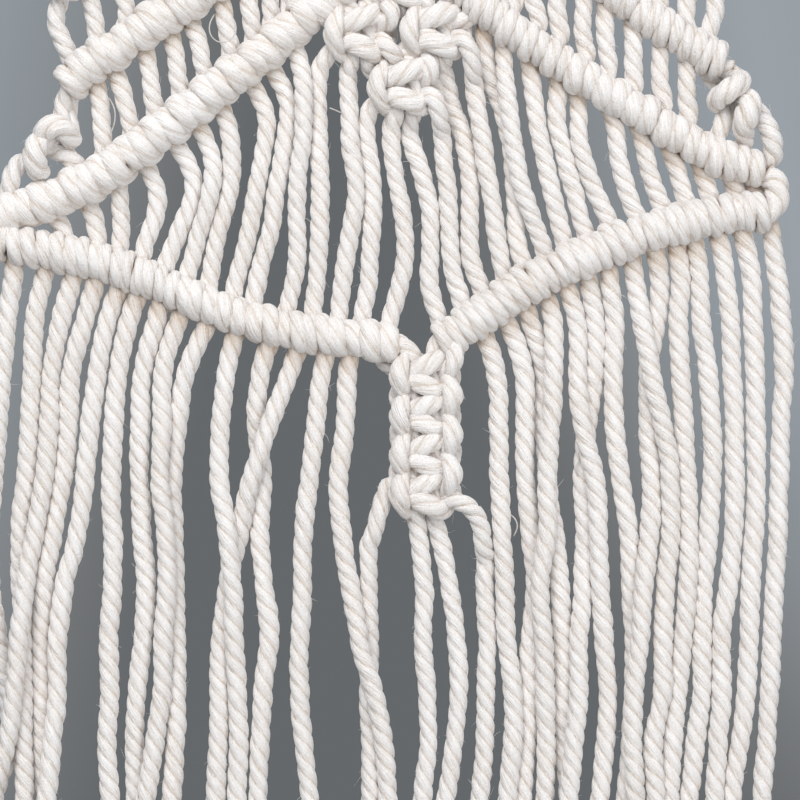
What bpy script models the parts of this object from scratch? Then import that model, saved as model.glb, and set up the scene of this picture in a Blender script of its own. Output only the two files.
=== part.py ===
"""Macrame wall hanging, knotted from thirty-two lengths of three-strand cotton cord.

The frame is +Z up with the origin in the middle of the top edge. The front looks along -Y and +X is
to the right, seen from the front. All sizes and places below are millimetres, and go into the meshes
in metres. Heights are negative, because everything hangs below the top edge.

Top to bottom the hanging is a straight heading, two chevrons of double half hitches, three square
knots in the middle, a lower V of hitched bars, a sennit of four square knots, and a long fringe.
"""
import math
from collections import namedtuple

import bpy
import numpy as np

MM = 0.001

# The cord. Every size of a knot or bar below follows from it.
CORD = 5.0                      # diameter of the cord
CORNER = 0.46 * CORD            # centre to corner of a strand, which has four sides
CLEAR = 1.1 * CORD              # between the middles of two strands that cross or touch
BAR_CREST = 1.08 * CORD         # radius of a hitched bar over a wrap
BAR_VALLEY = 0.90 * CORD        # radius of a hitched bar between two wraps
WRAPS = 2                       # wraps of one double half hitch
HITCHES = 15                    # hitches on each arm of a chevron or of the V
GAP = 0.35                      # between two separate pieces that touch on the real thing
STRAND_BACK = 0.3 * CORD        # strands leave a bar behind its middle, as they are tied from behind

# The hanging as a whole.
FOOT = -345.0                   # height of the cut ends of the fringe
HEADING_HALF = 91.0             # half the width of the heading
STRANDS = 32

# Knots: half the width and depth at the fullest place and between two half knots.
HALF_KNOT = 1.0 * CORD          # height of one half knot in the sennit
KNOT_WIDE, KNOT_WAIST = 2.0 * CORD, 1.75 * CORD
KNOT_DEEP, KNOT_THIN = 1.05 * CORD, 0.85 * CORD
SENNIT_KNOTS = 4                # square knots in the sennit, two half knots each

# Middle lines of the hitched bars, as (x, z), from the middle of the hanging outwards.
BARS = {
    "chevron_a_left": [(0, -24.5), (-26.3, -40.8), (-57.9, -61.3), (-73.6, -71.6), (-89.9, -84.2)],
    "chevron_a_right": [(0, -24.5), (26.3, -39.0), (57.9, -58.7), (73.6, -70.0), (87.3, -78.4)],
    "chevron_b_left": [(0.5, -45.5), (-26.3, -65.3), (-52.6, -86.6), (-78.9, -105.8),
                       (-94.7, -112.6), (-105.2, -116.3)],
    "chevron_b_right": [(0.5, -45.5), (26.3, -65.3), (52.6, -83.1), (73.6, -95.8),
                        (89.4, -103.1), (98.9, -106.6)],
    "v_left": [(0.3, -151.0), (-13.2, -148.9), (-26.3, -147.3), (-52.6, -139.2), (-78.9, -128.9),
               (-99.9, -124.7), (-107.3, -121.3)],
    "v_right": [(7.4, -150.0), (21.0, -142.6), (42.1, -130.5), (63.1, -121.5), (78.9, -117.6),
                (96.0, -115.5), (100.6, -112.4)],
}
HEADING = [(-HEADING_HALF, -BAR_CREST), (HEADING_HALF, -BAR_CREST)]

# Single knots: x and z of the middle, half the width, height, and turn to the right in degrees.
Knot = namedtuple("Knot", "x z half_width height turn")
KNOTS = {
    "crown_knot": Knot(0.0, -59.0, 9.6, 14.0, 0),
    "square_knot_left": Knot(-9.8, -69.2, 9.9, 15.0, 0),
    "square_knot_right": Knot(9.4, -67.6, 9.9, 15.0, 0),
    "square_knot_low": Knot(0.4, -84.0, 9.9, 15.2, 0),
    "edge_knot_top_left": Knot(-88.0, -54.5, 6.4, 15.5, 25),
    "edge_knot_left": Knot(-91.6, -98.2, 6.6, 15.8, 25),
    "edge_knot_right": Knot(88.2, -86.6, 6.6, 15.8, -25),
}
SENNIT_TOP = (6.6, -153.9)      # x and z of the middle of the sennit's top
MEETING = 3.0                   # x where the left and right arms of a chevron meet
HOLDER_START = 1.6              # x of the two strands that become chevron A's holding cords
SETTLE_ROUNDS = 12              # passes that push close strands apart in depth

# Strands between two bars: x at the upper bar, a quarter of the way down, half way, three quarters
# of the way and at the lower bar. Depth rank: where two strands come close, the lower rank goes in front.
Run = namedtuple("Run", "rank top quarter half three_quarters foot")
A_TO_B = [
    Run(0, -89.6, -90.4, -92.0, -98.0, -103.0),
    Run(1, -88.0, -88.6, -90.0, -86.6, -84.2),
    Run(0, -80.6, -80.5, -78.8, -78.2, -78.0),
    Run(0, -75.8, -75.0, -72.8, -71.3, -70.4),
    Run(0, -67.6, -67.0, -66.0, -65.0, -64.2),
    Run(0, -61.2, -60.2, -58.9, -58.2, -57.9),
    Run(0, -55.2, -54.1, -52.7, -51.6, -51.2),
    Run(0, -47.4, -46.9, -46.2, -45.2, -44.6),
    Run(0, -41.1, -40.4, -39.7, -39.0, -38.6),
    Run(0, -35.1, -34.7, -34.4, -34.0, -33.8),
    Run(0, -29.6, -29.3, -29.2, -29.0, -28.9),
    Run(0, -24.0, -23.7, -23.5, -23.1, -22.9),
    Run(0, -18.2, -17.9, -17.5, -17.1, -16.8),
    Run(0, -12.7, -12.2, -11.9, -11.4, -11.0),
    Run(0, -6.7, -6.4, -6.1, -5.7, -5.3),
    Run(0, 6.6, 6.5, 6.3, 6.3, 6.3),
    Run(0, 12.2, 12.0, 11.9, 12.0, 12.1),
    Run(0, 17.6, 17.6, 17.7, 17.8, 17.9),
    Run(0, 23.4, 23.4, 23.5, 23.7, 23.9),
    Run(0, 28.9, 29.1, 29.4, 29.8, 30.2),
    Run(0, 34.5, 34.6, 34.8, 36.0, 37.2),
    Run(0, 41.0, 41.0, 41.0, 41.6, 42.4),
    Run(0, 48.7, 48.4, 48.0, 48.6, 49.5),
    Run(0, 54.2, 54.2, 54.2, 54.7, 55.3),
    Run(0, 60.9, 61.2, 61.5, 61.4, 61.3),
    Run(0, 68.5, 68.6, 68.6, 69.1, 69.8),
    Run(0, 74.9, 75.6, 75.7, 75.9, 76.4),
    Run(1, 84.4, 85.4, 85.2, 84.6, 84.6),
    Run(0, 87.0, 88.8, 91.2, 91.9, 92.0),
    Run(0, 89.6, 92.8, 95.6, 99.0, 98.6),
]
B_TO_V = [
    Run(0, -103.6, -104.2, -104.4, -104.4, -104.2),
    Run(0, -93.0, -92.2, -90.6, -89.1, -88.2),
    Run(0, -83.9, -82.2, -80.9, -80.3, -79.6),
    Run(0, -75.6, -74.2, -73.9, -73.8, -74.3),
    Run(0, -69.2, -64.8, -64.2, -66.1, -68.3),
    Run(0, -60.9, -55.6, -55.4, -59.3, -62.6),
    Run(0, -54.0, -49.4, -50.4, -53.5, -57.0),
    Run(1, -48.2, -44.7, -45.3, -48.5, -51.4),
    Run(0, -40.2, -35.7, -38.0, -40.8, -44.9),
    Run(1, -35.2, -29.7, -32.6, -35.7, -39.7),
    Run(0, -28.9, -25.4, -27.0, -27.0, -30.9),
    Run(1, -18.5, -21.8, -21.3, -21.3, -23.2),
    Run(0, -13.7, -13.7, -11.6, -14.3, -16.5),
    Run(1, -7.4, -8.5, -7.2, -7.9, -10.9),
    Run(0, -1.8, -2.0, 0.9, 0.4, -3.8),
    Run(1, 1.8, 4.0, 7.9, 7.7, 11.2),
    Run(0, 9.6, 11.6, 12.9, 13.4, 17.3),
    Run(1, 10.4, 14.9, 18.4, 18.0, 22.6),
    Run(0, 17.0, 20.0, 22.5, 24.9, 28.6),
    Run(2, 21.9, 23.9, 26.8, 30.4, 33.9),
    Run(0, 27.5, 27.9, 29.9, 33.6, 40.2),
    Run(0, 34.0, 35.0, 37.9, 40.8, 44.8),
    Run(1, 40.8, 41.3, 43.7, 46.4, 51.0),
    Run(0, 46.0, 46.9, 48.7, 52.4, 57.0),
    Run(0, 54.3, 56.8, 58.1, 60.3, 64.4),
    Run(0, 62.3, 64.3, 65.6, 67.8, 70.8),
    Run(0, 70.7, 72.4, 73.6, 75.0, 77.3),
    Run(0, 78.7, 79.9, 80.8, 81.8, 82.4),
    Run(0, 86.7, 87.3, 88.2, 89.6, 90.7),
]

# Fringe: rank, x and z where the strand leaves its bar or knot, and x at each of these heights.
# None stands where the strand starts below that height.
FRINGE_HEIGHTS = (-130, -150, -170, -190, -210, -230, -250, -270)
Lock = namedtuple("Lock", ["rank", "root_x", "root_z"] + [f"at_{-height}" for height in FRINGE_HEIGHTS])
LEFT_FRINGE = [
    Lock(2, -101.0, -125.2, -101.8, -104.0, -105.8, -107.7, -108.3, -105.7, -103.3, -107.2),
    Lock(1, -92.6, -127.1, -92.8, -96.8, -97.4, -99.2, -100.3, -99.7, -99.2, -98.9),
    Lock(-1, -85.2, -128.9, -85.4, -91.3, -92.3, -94.4, -97.7, -100.0, -102.1, -107.7),
    Lock(1, -79.2, -131.0, None, -84.9, -87.4, -89.7, -93.1, -94.9, -94.7, -93.9),
    Lock(0, -73.9, -133.6, None, -78.8, -81.6, -83.5, -87.5, -90.2, -90.8, -92.8),
    Lock(0, -68.6, -136.3, None, -73.4, -75.2, -75.8, -75.7, -76.7, -77.0, -76.3),
    Lock(0, -63.1, -138.9, None, -66.5, -68.4, -68.5, -67.1, -68.1, -70.0, -69.7),
    Lock(-1, -56.8, -140.2, None, -60.4, -62.6, -62.5, -61.3, -62.2, -63.7, -66.7),
    Lock(1, -50.5, -144.2, None, -52.7, -58.6, -60.0, -59.4, -59.0, -59.1, -60.2),
    Lock(-1, -42.6, -145.5, None, -44.1, -47.2, -47.0, -44.3, -43.6, -42.1, -43.1),
    Lock(1, -33.7, -148.1, None, -34.0, -38.2, -36.5, -36.5, -34.7, -36.6, -37.3),
    Lock(0, -26.0, -149.4, None, -26.2, -33.8, -40.1, -44.6, -47.4, -47.8, -48.6),
    Lock(0, -18.9, -150.7, None, None, -22.0, -24.3, -25.8, -26.3, -26.2, -23.7),
    Lock(-1, -13.2, -152.1, None, None, -14.2, -16.3, -13.5, -9.9, -5.1, -3.2),
]
RIGHT_FRINGE = [
    Lock(-1, 21.8, -145.5, None, 23.6, 25.9, 26.2, 27.6, 28.4, 30.2, 28.2),
    Lock(0, 27.6, -142.8, None, 31.2, 32.9, 33.4, 35.5, 34.2, 33.9, 32.4),
    Lock(1, 33.1, -140.2, None, 37.0, 38.1, 39.8, 41.8, 43.0, 43.2, 44.4),
    Lock(-1, 38.7, -137.6, None, 41.0, 39.7, 39.0, 36.8, 37.9, 38.7, 38.1),
    Lock(-1, 44.2, -135.0, None, 46.6, 47.5, 51.8, 52.5, 53.9, 54.6, 52.9),
    Lock(0, 49.4, -132.3, None, 51.5, 49.8, 48.5, 48.6, 47.0, 46.5, 44.2),
    Lock(1, 54.7, -129.7, 54.8, 56.5, 56.2, 59.0, 60.7, 62.0, 61.2, 59.7),
    Lock(-1, 61.0, -127.1, 62.0, 63.9, 68.5, 71.5, 70.5, 69.4, 67.7, 67.3),
    Lock(0, 66.8, -124.4, 68.1, 66.5, 65.5, 66.2, 65.0, 62.8, 61.1, 62.0),
    Lock(0, 72.6, -123.1, 73.8, 73.3, 74.8, 76.1, 76.0, 74.5, 72.7, 71.3),
    Lock(1, 77.6, -122.3, 78.7, 80.2, 82.0, 81.9, 80.5, 79.8, 78.8, 76.3),
    Lock(0, 83.6, -121.0, 85.5, 87.3, 88.0, 88.3, 86.9, 84.7, 84.1, 82.9),
    Lock(1, 90.2, -120.5, 92.2, 93.3, 93.7, 93.9, 92.7, 92.0, 90.1, 87.6),
    Lock(0, 97.3, -117.9, 99.2, 101.0, 100.5, 99.9, 98.9, 98.0, 96.8, 95.5),
]
# The four tails of the sennit leave its foot: the outer two are the working cords.
TAILS = [
    Lock(1, -0.6, -188.6, None, None, None, None, -8.1, -8.1, -8.1, -7.9),
    Lock(0, 4.2, -191.0, None, None, None, None, 6.1, 6.2, 7.4, 5.8),
    Lock(1, 8.0, -191.0, None, None, None, None, 12.0, 15.1, 14.9, 12.2),
    Lock(0, 12.8, -189.4, None, None, None, None, 22.0, 22.8, 22.6, 21.1),
]


def cotton():
    """The one material: undyed cotton, warm off-white and quite matt."""
    material = bpy.data.materials.new("undyed_cotton_cord")
    material.use_nodes = True
    shader = material.node_tree.nodes["Principled BSDF"]
    shader.inputs["Base Color"].default_value = (0.82, 0.77, 0.71, 1.0)
    shader.inputs["Roughness"].default_value = 0.9
    shader.inputs["Metallic"].default_value = 0.0
    return material


def smooth_line(points, count):
    """Points evenly spaced on a smooth curve (Catmull-Rom) through the given points."""
    given = np.array(points, float)
    ends = 2 * given[0] - given[1], 2 * given[-1] - given[-2]
    knots = np.vstack([ends[0], given, ends[1]])
    steps = np.linspace(0, 1, 16, endpoint=False)[:, None]
    parts = []
    for a, b, c, d in zip(knots, knots[1:], knots[2:], knots[3:]):
        parts.append(b + 0.5 * steps * (c - a + steps * (2 * a - 5 * b + 4 * c - d
                                                         + steps * (3 * (b - c) + d - a))))
    dense = np.vstack(parts + [given[-1:]])
    along = np.concatenate([[0], np.cumsum(np.linalg.norm(np.diff(dense, axis=0), axis=1))])
    wanted = np.linspace(0, along[-1], count)
    return np.stack([np.interp(wanted, along, dense[:, k]) for k in range(dense.shape[1])], axis=1)


def in_depth(line, depth=0.0):
    """A line of (x, z) points as (x, y, z) points at the given depth, one number or one per point."""
    return np.stack([line[:, 0], np.broadcast_to(depth, len(line)), line[:, 1]], axis=1)


def sweep(path, sections):
    """Vertices and faces of a closed solid: one section of (across, forward) points at each path point."""
    along = np.gradient(path, axis=0)
    along /= np.linalg.norm(along, axis=1)[:, None]
    across = np.cross(along, [0.0, 1.0, 0.0])
    across /= np.linalg.norm(across, axis=1)[:, None]
    forward = np.cross(across, along)
    sections = np.broadcast_to(sections, (len(path),) + np.shape(sections)[-2:])
    rings = (path[:, None] + sections[..., :1] * across[:, None] + sections[..., 1:] * forward[:, None])
    sides = rings.shape[1]
    faces = [tuple(range(sides)), tuple(range(len(rings) * sides - 1, (len(rings) - 1) * sides - 1, -1))]
    for ring in range(len(rings) - 1):
        for side in range(sides):
            here, following = ring * sides + side, ring * sides + (side + 1) % sides
            faces.append((here, here + sides, following + sides, following))
    return rings.reshape(-1, 3), faces


def regular(sides, across, forward):
    """A regular section with its first corner to the side, stretched to the two half sizes."""
    angles = 2 * math.pi * np.arange(sides) / sides
    return np.stack([across * np.cos(angles), forward * np.sin(angles)], axis=1)


def strand(path):
    """A four-sided strand along a path."""
    return sweep(path, regular(4, CORNER, CORNER))


def ridged_bar(line, hitches, crest=BAR_CREST, valley=BAR_VALLEY):
    """A hitched bar: six sides, with one ridge for each wrap of its hitches."""
    rings = 2 * WRAPS * hitches + 1
    path = in_depth(smooth_line(line, rings))
    radii = np.where(np.arange(rings) % 2 == 1, crest, valley)
    return sweep(path, regular(6, 1.0, 1.0)[None] * radii[:, None, None])


def knot_column(x, z, half_width, height, turn=0.0, half_knots=2):
    """Stacked half knots from z - height/2 to z + height/2, full at each and narrower between."""
    rings = 2 * half_knots + 1
    full = np.arange(rings) % 2 == 1
    drift = 0.35 * np.where(np.arange(rings) % 4 == 1, -1.0, 1.0) * full
    down = np.linspace(0.5, -0.5, rings) * height
    angle = math.radians(turn)
    line = np.stack([x + down * math.sin(angle) + drift, z + down * math.cos(angle)], axis=1)
    wide = np.where(full, 1.0, KNOT_WAIST / KNOT_WIDE) * half_width
    deep = np.where(full, KNOT_DEEP, KNOT_THIN)
    square = regular(8, 1.0, 1.0) * np.where(np.arange(8) % 2 == 1, 1.15, 1.0)[:, None]
    return sweep(in_depth(line), square[None] * np.stack([wide, deep], axis=1)[:, None])


def bar_height(bar, x):
    """Height of a bar's middle line at each x."""
    line = smooth_line(BARS[bar], 60)
    line = line[np.argsort(line[:, 0])]
    return np.interp(x, line[:, 0], line[:, 1])


def bar_line_height(name, x):
    """Height of a chevron's or the V's middle line, on the left or right arm as x says."""
    x = np.asarray(x, float)
    return np.where(x < MEETING, bar_height(name + "_left", x), bar_height(name + "_right", x))


def depths(routes, ranks):
    """Depth of each strand at shared heights, so that no two strands meet.

    routes is x by strand and height, with NaN where a strand isn't there. Two strands whose middles
    come closer than CLEAR, at a height or half way to the next, are pushed apart in depth, the lower
    rank to the front, and this is repeated until all have settled.
    """
    depth = np.zeros_like(routes)
    close = []
    for first in range(len(routes)):
        for second in range(first + 1, len(routes)):
            between = routes[first] - routes[second]
            halfway = 0.5 * np.abs(between[1:] + between[:-1])
            aside = np.abs(between)
            aside[1:] = np.fmin(aside[1:], halfway)
            aside[:-1] = np.fmin(aside[:-1], halfway)
            apart = np.sqrt(np.clip(CLEAR ** 2 - np.nan_to_num(aside, nan=CLEAR) ** 2, 0, None))
            if apart.any():
                close.append((first, second, apart) if ranks[first] <= ranks[second] else (second, first, apart))
    for _ in range(SETTLE_ROUNDS):
        for front, back, apart in close:
            lack = np.where(apart > 0, np.clip(apart - depth[back] + depth[front], 0, None), 0)
            depth[front] -= 0.5 * lack
            depth[back] += 0.5 * lack
    return depth + STRAND_BACK


def runs(table, upper, lower):
    """Paths of the strands between two rows of bars, with a point every quarter of the way."""
    across = np.array([row[1:] for row in table], float)
    depth = depths(across, [row.rank for row in table])
    depth[:, [0, -1]] = STRAND_BACK
    tops, feet = bar_line_height(upper, across[:, 0]), bar_line_height(lower, across[:, -1])
    share = np.linspace(0, 1, across.shape[1])
    return [np.stack([x, y, top + share * (foot - top)], axis=1)
            for x, y, top, foot in zip(across, depth, tops, feet)]


def hanging_paths(locks):
    """Paths of the fringe strands, from their roots down to the foot, where half their sway is left."""
    heights = np.array(FRINGE_HEIGHTS + (FOOT,), float)
    across = np.array([[np.nan if x is None else x for x in row[3:]] for row in locks])
    across = np.column_stack([across, 1.5 * across[:, -1] - 0.5 * across[:, -2]])
    depth = depths(across, [row.rank for row in locks])
    paths = []
    for row, x, y in zip(locks, across, depth):
        below = np.stack([x, y, heights], axis=1)[~np.isnan(x) & (heights < row.root_z - CORD)]
        paths.append(np.vstack([[(row.root_x, STRAND_BACK, row.root_z)], below]))
    return paths


def mesh_object(name, solid):
    """A new object with its own mesh from vertices in millimetres."""
    vertices, faces = solid
    mesh = bpy.data.meshes.new(name)
    mesh.from_pydata((vertices * MM).tolist(), [], faces)
    mesh.materials.append(COTTON)
    piece = bpy.data.objects.new(name, mesh)
    bpy.context.scene.collection.objects.link(piece)
    return piece


def guide_collection(name, solids):
    """Hidden operands for a Boolean, in a collection of their own."""
    group = bpy.data.collections.new(name)
    bpy.context.scene.collection.children.link(group)
    for number, solid in enumerate(solids):
        piece = mesh_object(f"{name}_{number}", solid)
        bpy.context.scene.collection.objects.unlink(piece)
        group.objects.link(piece)
        piece.hide_render = True
        piece.display_type = "WIRE"
    return group


def knotted(name, solids, cutters=()):
    """One object: the solids fused at their knots, less the room that neighbouring pieces need."""
    piece = mesh_object(name, solids[0])
    operands = [("UNION", "fuse", solids[1:])] + ([("DIFFERENCE", "room", cutters)] if cutters else [])
    for operation, label, others in operands:
        modifier = piece.modifiers.new(label, "BOOLEAN")
        modifier.operation = operation
        modifier.operand_type = "COLLECTION"
        modifier.collection = guide_collection(f"{name}_{label}", others)
    return piece


for old in list(bpy.data.objects):
    bpy.data.objects.remove(old, do_unlink=True)
COTTON = cotton()

# The net: heading, both chevrons, their strands and the single knots, down to the V.
chevrons = [ridged_bar(BARS[name], HITCHES) for name in BARS if name.startswith("chevron")]
held = sorted([row.top for row in A_TO_B] + [-HOLDER_START, HOLDER_START])
top_runs = [np.array([(spot, STRAND_BACK, -BAR_CREST), (x, STRAND_BACK, z)])
            for spot, x, z in zip(np.linspace(-1, 1, STRANDS) * (HEADING_HALF - 0.4 * CORD), held,
                                  bar_line_height("chevron_a", held))]
middle_runs = runs(A_TO_B, "chevron_a", "chevron_b")
lower_runs = runs(B_TO_V, "chevron_b", "v")
net = [ridged_bar(HEADING, STRANDS // 2)] + chevrons
net += [strand(path) for path in top_runs + middle_runs + lower_runs]
net += [knot_column(*row) for row in KNOTS.values()]
room = [ridged_bar(BARS[name], HITCHES, BAR_CREST + GAP, BAR_VALLEY + GAP) for name in ("v_left", "v_right")]
knotted("knotted_net", net, room)

# The two arms of the V, each with the fringe that hangs from it, and the sennit with its tails.
fringe = hanging_paths(LEFT_FRINGE + RIGHT_FRINGE + TAILS)
left, right = len(LEFT_FRINGE), len(LEFT_FRINGE) + len(RIGHT_FRINGE)
for name, bar, locks in (("left_bar_fringe", "v_left", fringe[:left]),
                         ("right_bar_fringe", "v_right", fringe[left:right])):
    knotted(name, [ridged_bar(BARS[bar], HITCHES)] + [strand(path) for path in locks])

sennit_height = 2 * SENNIT_KNOTS * HALF_KNOT
sennit = knot_column(SENNIT_TOP[0], SENNIT_TOP[1] - sennit_height / 2, KNOT_WIDE, sennit_height,
                     half_knots=2 * SENNIT_KNOTS)
knotted("centre_sennit", [sennit] + [strand(path) for path in fringe[right:]], room)
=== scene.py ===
"""Looks of the macrame wall hanging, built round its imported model.

Everything but the fuzz is three-strand cotton cord, so a piece is a set of paths with one section
carried along each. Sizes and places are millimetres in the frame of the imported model, +Z up and the
front towards -Y, and go into the meshes in metres.
"""
import math
from collections import namedtuple

import bpy
import numpy as np
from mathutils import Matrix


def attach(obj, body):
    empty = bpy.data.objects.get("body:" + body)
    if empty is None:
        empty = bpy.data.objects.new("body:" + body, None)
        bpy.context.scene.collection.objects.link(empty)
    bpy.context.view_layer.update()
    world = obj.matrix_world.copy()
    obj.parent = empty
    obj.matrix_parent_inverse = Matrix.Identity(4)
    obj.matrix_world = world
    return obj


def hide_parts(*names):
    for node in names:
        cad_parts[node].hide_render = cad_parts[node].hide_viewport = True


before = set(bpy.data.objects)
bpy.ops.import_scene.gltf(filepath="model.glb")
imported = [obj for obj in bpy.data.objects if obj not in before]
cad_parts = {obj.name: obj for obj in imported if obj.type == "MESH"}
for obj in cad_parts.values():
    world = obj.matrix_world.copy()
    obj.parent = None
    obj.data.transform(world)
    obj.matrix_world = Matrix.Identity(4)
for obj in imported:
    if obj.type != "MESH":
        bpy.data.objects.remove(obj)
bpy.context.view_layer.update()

# ---------------------------------------------------------------------------------------------
# Heading: sixteen cords, each doubled and set on a straight holding cord with a lark's head, so
# that thirty-two working lengths hang down. The cord is undyed cotton, three plies laid together.

MM = 0.001
CORD = 5.0                          # diameter
HALF = 0.5 * CORD
LAY = 13.2                          # length in which a ply goes once round a loose cord
TAUT_LAY = 1.8                      # how much longer that is where the cord is pulled flat
LAY_SPREAD = (0.93, 1.08)           # and how much it differs from cord to cord
TAUT_BY = 0.7                       # so much thinner than HALF is wholly pulled flat
PLIES, PLY_CORNERS = 3, 6
CORNERS = PLIES * PLY_CORNERS
PLY_GROOVE = (1.0, 0.25, 0.0, 0.0, 0.0, 0.25)    # how far each corner across a ply is in the groove
GROOVE = 0.20                       # depth of the groove between two plies, as a share of the radius
TAUT_GROOVE = 0.75                  # share of that depth where the cord is pulled flat
ROUND = math.pi * CORD              # length of cord surface round the section
CREASE_SHADE, CREASE_FROM, CREASE_OVER = 0.95, 0.6, 0.25    # how dark the painted shade in a crease is, and where across a pressed cord
FIBRE_SLOPE = 0.3                   # 0: fibres follow the ply, 1: they follow the cord
PLY_JUMP = 41.0                     # moves the fibre pattern on from one ply to the next
STEP, FINE_STEP = 1.0, 0.5          # from ring to ring of the swept section, and along a path
SOFTENING = 1.1                     # reach of the smoothing along a path
DRIFT, SWELL = 6.0, 0.03            # length of a cord's small bends, and how much its radius varies
HAIRS = 1.0                         # loose fibres on each millimetre of cord
BACK = np.array([0.0, 1.0, 0.0])
ANY_WAY, LEAST_SQUARE = np.array([1.0, 0.2, 0.1]), 0.45
chance = np.random.default_rng(20)

# One row of a path: place, direction of the section's thickness, and the section's two half sizes.
PLACE, FACING, THICK, WIDE = slice(0, 3), slice(3, 6), 6, 7


def summed(steps):
    """Running total of the steps, from 0."""
    return np.concatenate([[0.0], np.cumsum(steps)])


def distances(points):
    """How far along their line each of the points is."""
    return summed(np.linalg.norm(np.diff(points, axis=0), axis=1))


def read_off(wanted, known, rows):
    """Rows at wanted distances, between the rows at known ones."""
    return np.stack([np.interp(wanted, known, column) for column in rows.T], axis=-1)


def dot(one, other):
    return (one * other).sum(axis=-1)


def unit(vectors):
    return vectors / np.linalg.norm(vectors, axis=-1, keepdims=True)


def spaced(rows, step):
    """Rows at even distances along the line through the given rows."""
    along = distances(rows[:, PLACE])
    return read_off(np.linspace(0.0, along[-1], max(3, int(round(along[-1] / step)) + 1)), along, rows)


def softened(rows):
    """Rows averaged with their neighbours by a bell curve, with both ends kept."""
    rows = spaced(rows, FINE_STEP)
    span = int(3 * SOFTENING / FINE_STEP)
    bell = np.exp(-0.5 * (np.arange(-span, span + 1) * FINE_STEP / SOFTENING) ** 2)
    before = 2 * rows[:1] - rows[span:0:-1]
    after = 2 * rows[-1:] - rows[-2:-span - 2:-1]
    padded = np.vstack([before, rows, after])
    return np.stack([np.convolve(column, bell / bell.sum(), "valid") for column in padded.T], axis=1)


def curve(points, step=FINE_STEP):
    """Smooth line through points: a cubic on each stretch whose slopes come from both neighbours."""
    points = np.asarray(points, float)
    along = distances(points[:, PLACE])
    slopes = np.gradient(points, along, axis=0)
    wanted = np.linspace(0.0, along[-1], max(4, int(along[-1] / step)))
    index = np.clip(np.searchsorted(along, wanted, side="right") - 1, 0, len(along) - 2)
    length = (along[index + 1] - along[index])[:, None]
    part = (wanted - along[index])[:, None] / length
    start, end = points[index], points[index + 1]
    return (start * (2 * part ** 3 - 3 * part ** 2 + 1) + end * (3 * part ** 2 - 2 * part ** 3)
            + length * (slopes[index] * (part ** 3 - 2 * part ** 2 + part)
                        + slopes[index + 1] * (part ** 3 - part ** 2)))


def free(points, thick=HALF, wide=HALF):
    """Path rows of a length of cord on a smooth line through points (x, y, z) or (x, y, z, radius)."""
    line = curve(points, STEP)
    count = len(line)
    sizes = np.repeat(line[:, 3:], 2, axis=1) if line.shape[1] == 4 else np.full((count, 2), [thick, wide])
    return np.hstack([line[:, PLACE], np.broadcast_to(BACK, (count, 3)), sizes])


def carried(directions, tangent):
    """Directions made square to the path; where they run along it, the last good one is carried on."""
    square = directions - dot(directions, tangent)[:, None] * tangent
    for row in np.flatnonzero(np.linalg.norm(square, axis=1) < LEAST_SQUARE):
        held = square[row - 1] if row else ANY_WAY
        square[row] = unit(held - dot(held, tangent[row]) * tangent[row])
    return unit(square)


def placed(name, data):
    """The data as an object in the scene."""
    thing = bpy.data.objects.new(name, data)
    bpy.context.scene.collection.objects.link(thing)
    return thing


def finished(name, corners, faces, material, *nodes):
    """A cotton piece on the body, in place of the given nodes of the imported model; gives its mesh."""
    mesh = bpy.data.meshes.new(name)
    mesh.from_pydata((corners * MM).tolist(), [], faces)
    mesh.materials.append(material)
    piece = placed(name, mesh)
    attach(piece, "root")
    if nodes:
        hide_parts(*nodes)
    return mesh


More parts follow.
